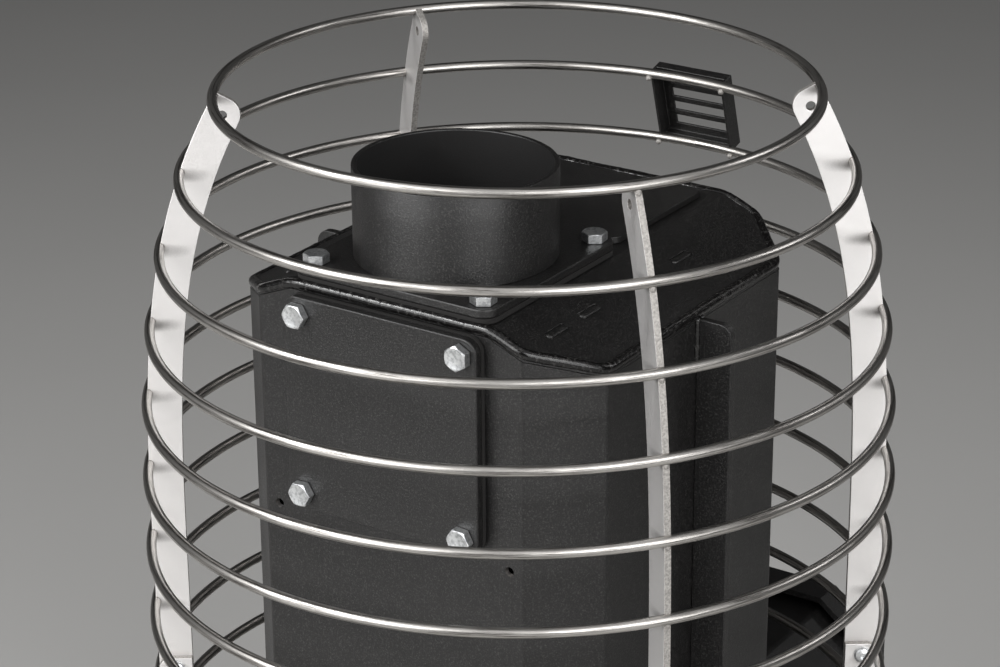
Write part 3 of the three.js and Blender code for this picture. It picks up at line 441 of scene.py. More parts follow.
def glass_rope():
    """Braided glass fibre rope: grey, soft, with slanting strands about 2 mm wide."""
    material, tree = new_material("braided_glass_fibre_rope")
    where = add_node(tree, "ShaderNodeUVMap", uv_map="along_and_around").outputs["UV"]
    slanted = add_node(
        tree, "ShaderNodeMapping", {"Vector": where, "Rotation": (0, 0, math.radians(40)), "Scale": (1, 1, 1)}
    )
    strands = add_node(
        tree, "ShaderNodeTexWave", {"Vector": slanted.outputs["Vector"], "Scale": per_mm(2) / math.tau * math.pi / 10,
                                    "Distortion": 1.5, "Detail": 2},
    )
    tone = add_node(tree, "ShaderNodeValToRGB", {"Fac": strands.outputs["Fac"]})
    tone.color_ramp.elements[0].color = rgba(linear("5F5B55"))
    tone.color_ramp.elements[1].color = rgba(colours().rope)
    bump = add_node(tree, "ShaderNodeBump", {"Height": strands.outputs["Fac"], "Strength": 0.6, "Distance": 0.5 * MM})
    shader = add_node(
        tree, "ShaderNodeBsdfPrincipled",
        {"Base Color": tone.outputs["Color"], "Roughness": 0.9, "Normal": bump.outputs["Normal"]},
    )
    surface(tree, shader)
    return material


def fibre_gasket():
    """Pressed ceramic fibre sheet: dull, with a felt-like grain, and near black, which partly paints the shade in the
    gap under the plate it seals.
    """
    material, tree = new_material("pressed_ceramic_fibre_sheet")
    where = add_node(tree, "ShaderNodeTexCoord").outputs["Object"]
    felt = add_node(tree, "ShaderNodeTexNoise", {"Vector": where, "Scale": per_mm(1.5), "Detail": 4, "Roughness": 0.7})
    tone = add_node(tree, "ShaderNodeValToRGB", {"Fac": felt.outputs["Fac"]})
    # These near-black tones partly paint the shade of the gap under the plate.
    tone.color_ramp.elements[0].color = rgba(linear("0D0C0B"))
    tone.color_ramp.elements[1].color = rgba(colours().gasket)
    bump = add_node(tree, "ShaderNodeBump", {"Height": felt.outputs["Fac"], "Strength": 0.5, "Distance": 0.2 * MM})
    shader = add_node(
        tree, "ShaderNodeBsdfPrincipled",
        {"Base Color": tone.outputs["Color"], "Roughness": 0.92, "Normal": bump.outputs["Normal"]},
    )
    surface(tree, shader)
    return material


def studio_floor():
    """Matt seamless paper, evenly pale."""
    material, tree = new_material("matt_studio_paper")
    where = add_node(tree, "ShaderNodeTexCoord").outputs["Object"]
    fibre = add_node(tree, "ShaderNodeTexNoise", {"Vector": where, "Scale": per_mm(300), "Detail": 2})
    tone = add_node(tree, "ShaderNodeValToRGB", {"Fac": fibre.outputs["Fac"]})
    tone.color_ramp.elements[0].color = rgba([0.96 * c for c in colours().floor])
    tone.color_ramp.elements[1].color = rgba(colours().floor)
    shader = add_node(tree, "ShaderNodeBsdfPrincipled", {"Base Color": tone.outputs["Color"], "Roughness": 0.85})
    surface(tree, shader)
    return material


made_materials = {}


def finish(make):
    """The material that a function makes, made once."""
    if make not in made_materials:
        made_materials[make] = make()
    return made_materials[make]


# Meshes


def add_piece(name, mesh, make_material, body, slot, *replaced):
    """Puts a mesh in the scene as a piece that rides on a body and stands for the solids that it replaces."""
    piece = bpy.data.objects.new(name, mesh)
    bpy.context.scene.collection.objects.link(piece)
    mesh.materials.append(finish(make_material))
    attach(piece, body)
    if replaced:
        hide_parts(*replaced)
    return piece


def turn_outwards(bm):
    """Turns the faces of a closed bmesh outwards."""
    bmesh.ops.recalc_face_normals(bm, faces=bm.faces)
    if bm.calc_volume(signed=True) < 0:
        bmesh.ops.reverse_faces(bm, faces=bm.faces)


def mesh_from(bm, name, smooth_deg=35):
    """A mesh from a bmesh, smooth apart from the edges that turn more than an angle."""
    mesh = bpy.data.meshes.new(name)
    bm.to_mesh(mesh)
    bm.free()
    mesh.shade_smooth()
    mesh.set_sharp_from_angle(angle=math.radians(smooth_deg))
    return mesh


def welded(node):
    """A node's solid as a bmesh whose shared corners are joined and whose flat faces are whole."""
    bm = bmesh.new()
    bm.from_mesh(NODES[node].data)
    bmesh.ops.remove_doubles(bm, verts=bm.verts, dist=WELD_DISTANCE)
    bmesh.ops.dissolve_limit(bm, angle_limit=math.radians(0.5), verts=bm.verts, edges=bm.edges)
    return bm


def eased_copy(node, edge, bend=0.0, is_bend=None):
    """A node's solid with bevel weights for easing its edges, the bends weighted to round wider."""
    bm = welded(node)
    widest = max(edge, bend)
    weights = bm.edges.layers.float.new("bevel_weight_edge")
    for line in bm.edges:
        if not line.is_manifold or line.calc_face_angle() < math.radians(15):
            continue
        line[weights] = (bend if is_bend and is_bend(line) else edge) / widest
    mesh = mesh_from(bm, node + "_finish")
    return mesh, widest


def round_edges(piece, width):
    """Rounds the edges that a mesh has weights for."""
    bevel = piece.modifiers.new("eased edges", "BEVEL")
    bevel.width = width
    bevel.segments = 3
    bevel.limit_method = "WEIGHT"
    bevel.harden_normals = True


def add_eased(node, make_material, body, slot, edge, bend=0.0, is_bend=None):
    mesh, width = eased_copy(node, edge, bend, is_bend)
    piece = add_piece(node + "_finish", mesh, make_material, body, slot, node)
    round_edges(piece, width)
    return piece


def sweep(points, radii, sides, closed=False, squash=(1, 1), up=Vector((0, 0, 1))):
    """A bmesh tube along points. Its UVs run in metres, along it and around it."""
    path = np.array([tuple(p) for p in points])
    count = len(path)
    before, after = np.roll(path, 1, 0), np.roll(path, -1, 0)
    if not closed:
        before[0], after[-1] = path[0], path[-1]
    tangent = after - before
    tangent /= np.linalg.norm(tangent, axis=1)[:, None]
    side = np.cross(tangent, tuple(up))
    side /= np.linalg.norm(side, axis=1)[:, None]
    over = np.cross(side, tangent)
    turns = math.tau * np.arange(sides) / sides
    out = side[:, None] * (np.cos(turns) * squash[0])[None, :, None]
    out += over[:, None] * (np.sin(turns) * squash[1])[None, :, None]
    corners = path[:, None] + out * np.array(radii)[:, None, None]
    spans = count if closed else count - 1
    near = np.arange(spans)[:, None] * sides
    far = (np.arange(1, spans + 1) % count)[:, None] * sides
    k, m = np.arange(sides)[None], (np.arange(1, sides + 1) % sides)[None]
    quads = np.stack([near + k, near + m, far + m, far + k], 2).reshape(-1, 4)
    faces = quads.tolist()
    if not closed:
        faces.append(list(range(sides))[::-1])
        faces.append(list(range((count - 1) * sides, count * sides)))
    mesh = bpy.data.meshes.new("tube")
    mesh.from_pydata(corners.reshape(-1, 3).tolist(), [], faces)
    along = np.concatenate([[0], np.cumsum(np.linalg.norm(after - path, axis=1))])
    around = math.tau * np.array(radii)[:spans, None] / sides
    u0, u1 = along[:spans, None] + 0 * k, along[1:spans + 1, None] + 0 * k
    v0, v1 = around * k, around * (k + 1)
    uv = np.stack([np.stack([u0, v0], 2), np.stack([u0, v1], 2), np.stack([u1, v1], 2), np.stack([u1, v0], 2)], 2)
    flat = np.zeros((len(mesh.loops), 2))
    flat[:len(quads) * 4] = uv.reshape(-1, 2)
    mesh.uv_layers.new(name="along_and_around").data.foreach_set("uv", flat.ravel())
    bm = bmesh.new()
    bm.from_mesh(mesh)
    bpy.data.meshes.remove(mesh)
    turn_outwards(bm)
    return bm


def bar(start, end, radius, easing):
    """Points and radii of a straight bar with eased ends."""
    run = (end - start).normalized()
    steps = [(0, 0.75), (0.35, 0.93), (1, 1)]
    points = [start + run * easing * t for t, _ in steps] + [end - run * easing * t for t, _ in reversed(steps)]
    ends = [radius - easing * (1 - s) for _, s in steps]
    return points, ends + ends[::-1]


def joined(*parts):
    """Several bmeshes as one."""
    whole = bmesh.new()
    for part in parts:
        mesh = bpy.data.meshes.new("part")
        part.to_mesh(mesh)
        part.free()
        whole.from_mesh(mesh)
        bpy.data.meshes.remove(mesh)
    return whole


def straight_bar(start, end, radius, easing=0.6 * MM):
    run = (end - start).normalized()
    points, radii = bar(start, end, radius, easing)
    up = Vector((0, 0, 1)) if abs(run.z) < 0.9 else Vector((0, 1, 0))
    return sweep(points, radii, BAR_SIDES, up=up)


def lathe(profile, steps=ROUND_STEPS):
    """A bmesh turned round Z from a closed profile of radius and height."""
    bm = bmesh.new()
    rings = []
    for s in range(steps):
        turn = math.tau * s / steps
        rings.append([bm.verts.new((r * math.cos(turn), r * math.sin(turn), z)) for r, z in profile])
    for s in range(steps):
        near, far = rings[s], rings[(s + 1) % steps]
        for k in range(len(profile)):
            m = (k + 1) % len(profile)
            bm.faces.new((near[k], far[k], far[m], near[m]))
    bmesh.ops.remove_doubles(bm, verts=bm.verts, dist=WELD_DISTANCE)
    turn_outwards(bm)
    return bm


# Flat pieces cut from sheet

PLANES = {
    0: Matrix(((0, 0, 1), (1, 0, 0), (0, 1, 0))),
    1: Matrix(((1, 0, 0), (0, 0, -1), (0, 1, 0))),
    2: Matrix(((1, 0, 0), (0, 1, 0), (0, 0, 1))),
}


def area_of(points):
    """Signed area of a closed outline."""
    pairs = zip(points, points[1:] + points[:1])
    return sum(a[0] * b[1] - b[0] * a[1] for a, b in pairs) / 2


def circle(centre, radius, steps=ROUND_STEPS):
    turns = (math.tau * k / steps for k in range(steps))
    return [(centre[0] + radius * math.cos(t), centre[1] + radius * math.sin(t)) for t in turns]


def trued(points):
    """The outline, or a true circle where its corners lie evenly on one."""
    if len(points) < 8:
        return points
    centre = [sum(p[i] for p in points) / len(points) for i in (0, 1)]
    reach = [math.dist(p, centre) for p in points]
    facets = [math.dist(p, q) for p, q in zip(points, points[1:] + points[:1])]
    if max(reach) - min(reach) > 0.02 * max(reach) or min(facets) < 0.8 * max(facets):
        return points
    return circle(centre, max(reach))


def turn_at(points, i):
    """How far an outline turns at a corner, to the left."""
    (ax, ay), (bx, by), (cx, cy) = points[i - 1], points[i], points[(i + 1) % len(points)]
    return math.remainder(math.atan2(cy - by, cx - bx) - math.atan2(by - ay, bx - ax), math.tau)


def finer_arcs(points, parts=4):
    """The outline with the facets of its rounded corners split, each new point bulging out to the arc."""
    turns = [turn_at(points, i) for i in range(len(points))]
    fine = []
    for i, (x0, y0) in enumerate(points):
        fine.append((x0, y0))
        x1, y1 = points[(i + 1) % len(points)]
        ends = (turns[i], turns[(i + 1) % len(points)])
        if not all(ARC_TURNS[0] < abs(turn) < ARC_TURNS[1] for turn in ends):
            continue
        bulge = math.tan(max(ends, key=abs) / 4) / 2
        for k in range(1, parts):
            t = k / parts
            out = 4 * bulge * t * (1 - t)
            fine.append((x0 + (x1 - x0) * t + (y1 - y0) * out, y0 + (y1 - y0) * t - (x1 - x0) * out))
    return fine


def flat_outlines(node, axis, side):
    """Outlines of a node's flat face on one side, the outer one first, and the level that it lies at."""
    bm = bmesh.new()
    bm.from_mesh(NODES[node].data)
    bmesh.ops.remove_doubles(bm, verts=bm.verts, dist=WELD_DISTANCE)
    level = max(v.co[axis] * side for v in bm.verts) * side
    flat = {
        f for f in bm.faces
        if f.normal[axis] * side > 0.999 and abs(f.calc_center_median()[axis] - level) < FLAT_TOLERANCE
    }
    rim = {}
    for f in flat:
        for loop in f.loops:
            if sum(other in flat for other in loop.edge.link_faces) == 1:
                rim[loop.vert] = loop.link_loop_next.vert
    outlines = []
    while rim:
        first, at = rim.popitem()
        chain = [first]
        while at is not first:
            chain.append(at)
            at = rim.pop(at)
        across = [i for i in (0, 1, 2) if i != axis]
        if axis == 0:
            across = [1, 2]
        outlines.append([(v.co[across[0]], v.co[across[1]]) for v in chain])
    bm.free()
    outlines.sort(key=lambda points: -abs(area_of(points)))
    return [finer_arcs(trued(points)) for points in outlines], level


def cut_sheet(name, outlines, thickness, edge):
    """A flat sheet on X and Y, centred on Z, cut to its outlines and with rounded edges. The first is its rim."""
    curve = bpy.data.curves.new(name, "CURVE")
    curve.dimensions = "2D"
    curve.fill_mode = "BOTH"
    curve.extrude = thickness / 2 - edge
    curve.bevel_depth = edge
    curve.bevel_resolution = 1
    curve.offset = -edge
    for index, points in enumerate(outlines):
        if (area_of(points) > 0) == (index > 0):
            points = points[::-1]
        spline = curve.splines.new("POLY")
        spline.points.add(len(points) - 1)
        for corner, (x, y) in zip(spline.points, points):
            corner.co = (x, y, 0, 1)
        spline.use_cyclic_u = True
    holder = bpy.data.objects.new(name, curve)
    mesh = bpy.data.meshes.new_from_object(holder)
    bpy.data.objects.remove(holder)
    bpy.data.curves.remove(curve)
    bm = bmesh.new()
    bm.from_mesh(mesh)
    bpy.data.meshes.remove(mesh)
    bmesh.ops.remove_doubles(bm, verts=bm.verts, dist=WELD_DISTANCE)
    turn_outwards(bm)
    return bm


def sheet_from(node, axis, side, thickness, edge):
    """A flat sheet that lies where a node's flat face is, as a bmesh."""
    outlines, level = flat_outlines(node, axis, side)
    bm = cut_sheet(node, outlines, thickness, edge)
    place = PLANES[axis].to_4x4()
    place.translation[axis] = level - side * thickness / 2
    bm.transform(place)
    return bm


def add_sheet(node, axis, side, make_material, body, slot, edge=None):
    low, high = BOXES[node]
    bm = sheet_from(node, axis, side, high[axis] - low[axis], edge or sizes().sheet_edge)
    mesh = mesh_from(bm, node + "_finish", SHEET_SMOOTH)
    return add_piece(node + "_finish", mesh, make_material, body, slot, node)


# Cage


def ring_place(name):
    """Radius and height of a ring's wire."""
    low, high = BOXES[name]
    return (high.x - low.x) / 2 - sizes().wire_diameter / 2, (low.z + high.z) / 2


def cage_radius(z):
    """Radius of the cage's wire at a height: a cylinder below, drawn in towards the top."""
    top_r, top_z = ring_place(RING_NAMES[0])
    foot_r, foot_z = ring_place(RING_NAMES[UPPER_RINGS - 1])
    rise = max(0, (z - foot_z) / (top_z - foot_z))
    return foot_r - (foot_r - top_r) * rise ** sizes().dome_power


def on_cage(radius, turn, z):
    """A point round the cage's axis. The turn is counted from the front, to the right."""
    return CAGE_AXIS + Vector((radius * math.sin(turn), -radius * math.cos(turn), z))


def weld_blob(radii, place):
    """A single round spot of weld as a bmesh."""
    blob = bmesh.new()
    bmesh.ops.create_uvsphere(blob, u_segments=16, v_segments=10, radius=1)
    blob.transform(place @ Matrix.Diagonal((*radii, 1)))
    return blob


class STOVE_OT_rings(bpy.types.Operator):
    """Round wire rings of the cage, the lower ones welded to the sides of the firebox tunnel"""

    bl_idname = "stove.rings"
    bl_label = "Cage rings"

    def execute(self, context):
        wire = sizes().wire_diameter / 2
        end_welds = []
        for name in RING_NAMES:
            radius, z = ring_place(name)
            whole = z - wire > TUNNEL_TOP
            start = 0 if whole else math.asin((TUNNEL_HALF_WIDTH - wire / 2) / radius)
            steps = RING_STEPS
            stride = math.tau / steps if whole else (math.tau - 2 * start) / (steps - 1)
            points = [on_cage(radius, start + stride * i, z) for i in range(steps)]
            tube = sweep(points, [wire] * steps, WIRE_SIDES, closed=whole)
            add_piece(name + "_finish", mesh_from(tube, name), drawn_stainless, "stove", "stainless", name)
            if not whole:
                end_welds += [self.end_weld(sign, radius, z) for sign in (-1, 1)]
        mesh = mesh_from(joined(*end_welds), "ring_end_welds", 60)
        add_piece("ring_end_welds", mesh, laser_cut_edge, "stove", "stainless")
        return {"FINISHED"}

    def end_weld(self, sign, radius, z):
        """The weld round the end of a ring, on the side of the tunnel."""
        reach = 0.72 * sizes().wire_diameter
        depth = math.sqrt(radius ** 2 - TUNNEL_HALF_WIDTH ** 2)
        spot = CAGE_AXIS + Vector((sign * TUNNEL_HALF_WIDTH, -depth, z))
        return weld_blob((0.5 * reach, reach, reach), Matrix.Translation(spot))


def rib_edge(z):
    """Where a rib's outer edge is at a height, with its upward tangent and its inward normal."""
    step = 0.01 * MM
    slope = (cage_radius(z + step) - cage_radius(z - step)) / (2 * step)
    tangent = Vector((slope, 1)).normalized()
    return Vector((cage_radius(z), z)), tangent, Vector((-tangent.y, tangent.x))


def seat(z, last=math.pi, steps=14):
    """The half-round seat of a ring in a rib's outer edge, from below to above."""
    centre, tangent, inward = rib_edge(z)
    turns = [last * k / steps for k in range(steps + 1)]
    r = sizes().wire_diameter / 2
    return [centre - tangent * (r * math.cos(t)) + inward * (r * math.sin(t)) for t in turns]


def outer_edge(z_from, z_to, ring_heights, spacing=6 * MM):
    """Points up a rib's outer edge, with a seat for each ring."""
    r = sizes().wire_diameter / 2
    steps = math.ceil((z_to - z_from) / spacing)
    points = []
    waiting = sorted(ring_heights)
    for k in range(steps + 1):
        z = z_from + (z_to - z_from) * k / steps
        while waiting and waiting[0] <= z:
            points += seat(waiting.pop(0))
        if all(abs(z - ring_z) > 1.3 * r for ring_z in ring_heights):
            points.append(rib_edge(z)[0])
    return points


def upper_rib_outlines():
    """Outlines of an upper rib, in radius and height: its rim, its top hole and its screw hole."""
    s = sizes()
    foot_z = BOXES["upper_rib_front_left"][0].z
    heights = [ring_place(name)[1] for name in RING_NAMES]
    top_z = heights[0]
    outer = outer_edge(foot_z, top_z - s.wire_diameter, [z for z in heights[1:] if z > foot_z])
    centre, tangent, inward = rib_edge(top_z)
    r = s.wire_diameter / 2
    outer += seat(top_z, math.acos(-s.rib_top / r))
    turns = [math.pi / 2 * k / 8 for k in range(9)]
    pivot = centre + tangent * (s.rib_top - s.rib_corner) + inward * (s.rib_width - s.rib_corner)
    corner = [pivot + tangent * (s.rib_corner * math.cos(t)) + inward * (s.rib_corner * math.sin(t)) for t in turns]
    inner = []
    steps = 50
    for k in range(steps + 1):
        point, _, inwards = rib_edge(top_z - s.rib_corner + (foot_z - top_z + s.rib_corner) * k / steps)
        inner.append(point + inwards * s.rib_width)
    hole = centre + tangent * (s.rib_top - s.rib_hole_down) + inward * (s.rib_width / 2)
    return [[tuple(p) for p in outer + corner + inner], circle(hole, s.rib_hole / 2, 32)]


def lower_rib_outlines():
    """Outline of a lower rib, in radius and height."""
    s = sizes()
    low, high = BOXES["lower_rib_front_left"]
    heights = [ring_place(name)[1] for name in RING_NAMES]
    top = high.z
    highest = max(z for z in heights if z < top)
    outer = outer_edge(low.z, highest - s.wire_diameter, [z for z in heights if z < highest])
    outer += seat(highest, 0.97 * math.pi)
    inner_r = cage_radius(low.z) - s.rib_width
    round_r = s.lap_corner
    pivot = (cage_radius(low.z) - round_r, top - round_r)
    turns = [math.radians(14 + 76 * k / 8) for k in range(9)]
    corner = [(pivot[0] + round_r * math.cos(t), pivot[1] + round_r * math.sin(t)) for t in turns]
    return [[tuple(p) for p in outer] + corner + [(inner_r, top), (inner_r, low.z)]]


def rib_place(end, side, shift):
    """Where a rib's sheet stands: upright and radial, moved sideways."""
    turn = math.radians(RIB_SIDES[side] * RIB_ANGLES[end] - 90)
    upright = Matrix.Translation((0, RIB_SIDES[side] * shift, 0)) @ PLANES[1].to_4x4()
    return Matrix.Translation(CAGE_AXIS) @ Matrix.Rotation(turn, 4, "Z") @ upright


def lap_shift():
    """How far the lower ribs stand beside the upper ones."""
    return sizes().rib_thickness + 0.3 * MM


class STOVE_OT_ribs(bpy.types.Operator):
    """Flat ribs of the cage, the lower ones lapped beside the upper ones, with the rings' welds"""

    bl_idname = "stove.ribs"
    bl_label = "Cage ribs"

    def execute(self, context):
        s = sizes()
        for end in RIB_ANGLES:
            for side in RIB_SIDES:
                place = f"{end}_{side}"
                for level, outlines, shift in (
                    ("upper", upper_rib_outlines(), 0), ("lower", lower_rib_outlines(), lap_shift())
                ):
                    name = f"{level}_rib_{place}"
                    bm = cut_sheet(name, outlines, s.rib_thickness, 0.25 * MM)
                    bm.normal_update()
                    in_and_up = bm.loops.layers.uv.new("in_and_up")
                    for face in bm.faces:
                        face.material_index = abs(face.normal.z) < 0.5
                        for loop in face.loops:
                            radius, height, _ = loop.vert.co
                            loop[in_and_up].uv = (cage_radius(height) - radius, height)
                    bm.transform(rib_place(end, side, shift))
                    mesh = mesh_from(bm, name, SHEET_SMOOTH)
                    add_piece(name + "_finish", mesh, pickled_stainless, "stove", "stainless", name)
                    mesh.materials.append(finish(laser_cut_edge))
                self.add_welds(end, side)
        return {"FINISHED"}

    def add_welds(self, end, side):
        """Small welds under each ring, on the outer edge of the rib that carries it."""
        s = sizes()
        turn = math.radians(RIB_SIDES[side] * RIB_ANGLES[end])
        lap_top = BOXES["lower_rib_front_left"][1].z
        blobs = []
        for name in RING_NAMES:
            radius, z = ring_place(name)
            shift = RIB_SIDES[side] * lap_shift() if z < lap_top else 0
            below = z - s.wire_diameter / 2 - 0.3 * s.rib_weld
            place = Matrix.Rotation(turn - math.pi / 2, 4, "Z") @ Matrix.Translation(
                (cage_radius(below) - 0.2 * s.rib_weld, shift, below)
            )
            shape = (s.rib_weld * 0.8, s.rib_weld, s.rib_weld * 1.3)
            blobs.append(weld_blob(shape, Matrix.Translation(CAGE_AXIS) @ place))
        mesh = mesh_from(joined(*blobs), f"rib_welds_{end}_{side}", 60)
        add_piece(f"rib_welds_{end}_{side}", mesh, laser_cut_edge, "stove", "stainless")


class STOVE_OT_rib_screws(bpy.types.Operator):
    """Round-headed socket screws where the upper and the lower ribs lap"""

    bl_idname = "stove.rib_screws"
    bl_label = "Rib screws"

    def execute(self, context):
        for end in RIB_ANGLES:
            for side in RIB_SIDES:
                name = f"rib_screw_{end}_{side}"
                low, high = BOXES[name]
                sign = RIB_SIDES[side]
                turn = math.radians(sign * RIB_ANGLES[end] - 90)
                along = Vector((-math.sin(turn), math.cos(turn), 0)) * sign
                head_r = (high.z - low.z) / 2
                centre = (low + high) / 2
                reach = max((v.co - centre).dot(along) for v in NODES[name].data.vertices)
                back = min((v.co - centre).dot(along) for v in NODES[name].data.vertices)
                tall = 3 * MM
                bm = self.screw(head_r, tall, reach - back - tall)
                place = Matrix.Translation(centre + along * (reach - tall)) @ along.to_track_quat("Z", "Y").to_matrix().to_4x4()
                bm.transform(place)
                add_piece(name + "_finish", mesh_from(bm, name, 40), zinc_plate, "stove", "zinc_plate", name)
        return {"FINISHED"}

    def screw(self, head_r, tall, shank):
        """A button head on Z with a hexagon socket, and its shank below."""
        socket_r = 0.33 * head_r
        dome = [(head_r * math.cos(t), tall * (0.25 + 0.75 * math.sin(t))) for t in (math.pi / 2 * k / 8 for k in range(8))]
        dome = [p for p in dome if p[0] > 1.15 * socket_r]
        profile = [
            (0, -shank), (2.2 * MM, -shank), (2.5 * MM, 0.3 * MM - shank), (2.5 * MM, 0), (head_r, 0), *dome,
            (socket_r * 1.12, tall), (socket_r, tall - 0.15 * MM), (socket_r, tall * 0.45), (0, tall * 0.4),
        ]
        return lathe(profile, 36)


class STOVE_OT_badge_tray(bpy.types.Operator):
    """Folded tray on the front of the cage, with plain slots, and its welds to two rings"""

    bl_idname = "stove.badge_tray"
    bl_label = "Badge tray"

    def execute(self, context):
        s = sizes()
        add_eased("badge_tray", black_paint, "stove", "black_paint", 0.4 * MM)
        _, high = BOXES["badge_tray"]
        off = 0.4 * s.wire_diameter
        blobs = []
        for name in RING_NAMES[1:3]:
            radius, z = ring_place(name)
            for x in (-high.x, high.x):
                spot = CAGE_AXIS + Vector((x, off - math.sqrt(radius ** 2 - x ** 2), z - off))
                blobs.append(weld_blob([s.rib_weld] * 3, Matrix.Translation(spot)))
        mesh = mesh_from(joined(*blobs), "badge_welds", 60)
        add_piece("badge_welds", mesh, laser_cut_edge, "stove", "stainless")
        return {"FINISHED"}


# Body


def upright_bend(line):
    """Whether an edge is one of the upright bends of a bent wall."""
    run = line.verts[1].co - line.verts[0].co
    return abs(run.z) > 0.95 * run.length and math.radians(40) < line.calc_face_angle() < math.radians(50)


def wall_bend(line):
    """Whether an edge is the outer side of an upright bend."""
    return upright_bend(line) and line.is_convex


def lengthwise_bend(line):
    """Whether an edge is a bend that runs from front to rear."""
    run = line.verts[1].co - line.verts[0].co
    return abs(run.y) > 0.95 * run.length and line.calc_face_angle() < math.radians(60)


def roof_bends(line):
    """Whether an edge of the top plate follows one of its own bends or one of the wall's."""
    return lengthwise_bend(line) or upright_bend(line)


def roof_height(x):
    """Height of the top plate's upper face at a distance from the middle."""
    low, high = BOXES["top_plate"]
    strip = sizes().roof_strip / 2
    slope = (high.z - low.z - 5 * MM) / (high.x - strip)
    return high.z - max(0, abs(x) - strip) * slope


def roof_rim(inset):
    """Closely spaced points round the rim of the top plate, set in from it."""
    low, high = BOXES["top_plate"]
    cut = sizes().body_corner - inset * (2 - math.sqrt(2))
    strip = sizes().roof_strip / 2
    side, front, rear = high.x - inset, low.y + inset, high.y - inset
    right = [(strip, front), (side - cut, front), (side, front + cut), (side, rear - cut), (side - cut, rear), (strip, rear)]
    corners = right + [(-x, y) for x, y in reversed(right)]
    return rounded_path([Vector((x, y, roof_height(x))) for x, y in corners], sizes().roof_bend, 1.2 * MM)


def rippled(points, radius, pitch, seed):
    """Points and radii of a hand-laid weld bead: it wanders a little and swells at each ripple."""
    along = 0.0
    moved, radii = [], []
    for i, point in enumerate(points):
        along += (point - points[i - 1]).length if i else 0
        wander = noise.noise(Vector((along * per_mm(25), seed, 0)))
        swell = noise.noise(Vector((along * per_mm(7), seed, 5)))
        ripple = math.sin(math.tau * along / pitch + 6 * wander)
        radii.append(radius * (1 + 0.012 * ripple + 0.07 * swell))
        moved.append(point + Vector((0, 0, 0.4 * MM * wander)))
    return moved, radii


class STOVE_OT_body_shell(bpy.types.Operator):
    """Body of bent plate, with its legs and the bare threads in its rear wall; the bead that joins the top plate to it
    comes with the top plate
    """

    bl_idname = "stove.body_shell"
    bl_label = "Body shell"

    def execute(self, context):
        s = sizes()
        add_eased("body_shell", black_paint, "stove", "black_paint", s.sheet_edge, s.body_bend, wall_bend)
        self.add_threads(s)
        return {"FINISHED"}

    def add_threads(self, s):
        """Bare threads in the two small holes of the rear wall."""
        _, high = BOXES["body_shell"]
        height = sum(corner.z for corner in BOXES["rear_cover"]) / 2 - s.rear_thread_down
        outer = s.rear_thread / 2 - 0.02 * MM
        root = outer - 0.1 * MM
        crest = outer - 0.6 * MM
        pitch = 1 * MM
        profile = [(outer, 0), (root, 0)]
        for k in range(3):
            profile += [(crest, (k + 0.5) * pitch), (root, (k + 1) * pitch)]
        profile.append((outer, 3 * pitch))
        threads = []
        for sign in (-1, 1):
            thread = lathe(profile)
            thread.transform(Matrix.Rotation(math.pi / 2, 4, "X"))
            thread.transform(Matrix.Translation((sign * s.rear_thread_spacing / 2, high.y - 0.4 * MM, height)))
            threads.append(thread)
        mesh = mesh_from(joined(*threads), "rear_threads", 20)
        add_piece("rear_threads", mesh, hot_rolled_steel, "stove", "bare_steel")


class STOVE_OT_top_plate(bpy.types.Operator):
    """Bent top plate with its weld bead and the plug welds over the baffle's tabs"""

    bl_idname = "stove.top_plate"
    bl_label = "Top plate"

    def execute(self, context):
        s = sizes()
        add_eased("top_plate", black_paint, "stove", "black_paint", s.sheet_edge, s.roof_bend, roof_bends)
        rim = [point - Vector((0, 0, s.weld_sink)) for point in roof_rim(s.weld_inset)]
        points, radii = rippled(rim, s.weld_bead, s.weld_pitch, 1)
        bead = sweep(points, radii, 14, closed=True)
        mesh = mesh_from(bead, "top_plate_weld", 70)
        add_piece("top_plate_weld", mesh, black_paint_on_weld, "stove", "black_paint")
        self.add_plug_welds()
        return {"FINISHED"}

    def add_plug_welds(self):
        """Three short lumpy welds on each shoulder."""
        _, high = BOXES["body_shell"]
        half_width = BOXES["baffle_box"][1].x - 2 * MM
        welds = []
        for seed, distance in enumerate((34.5, 67.5, 163.5)):
            for sign in (-1, 1):
                x = sign * half_width
                y = high.y - distance * MM
                steps = 14
                line = [Vector((x, y + (k / steps - 0.5) * 19 * MM, roof_height(x) - 0.5 * MM)) for k in range(steps + 1)]
                points, radii = rippled(line, 2.8 * MM, 5.5 * MM, 10 * sign + seed)
                radii[0] *= 0.3
                radii[-1] *= 0.3
                welds.append(sweep(points, radii, 14, squash=(1, 0.5)))
        mesh = mesh_from(joined(*welds), "plug_welds", 70)
        add_piece("plug_welds", mesh, black_paint, "stove", "black_paint")


class STOVE_OT_baffle(bpy.types.Operator):
    """Baffle box under the top plate"""

    bl_idname = "stove.baffle"
    bl_label = "Baffle box"

    def execute(self, context):
        add_eased("baffle_box", hot_rolled_steel, "stove", "bare_steel", 0.4 * MM)
        return {"FINISHED"}


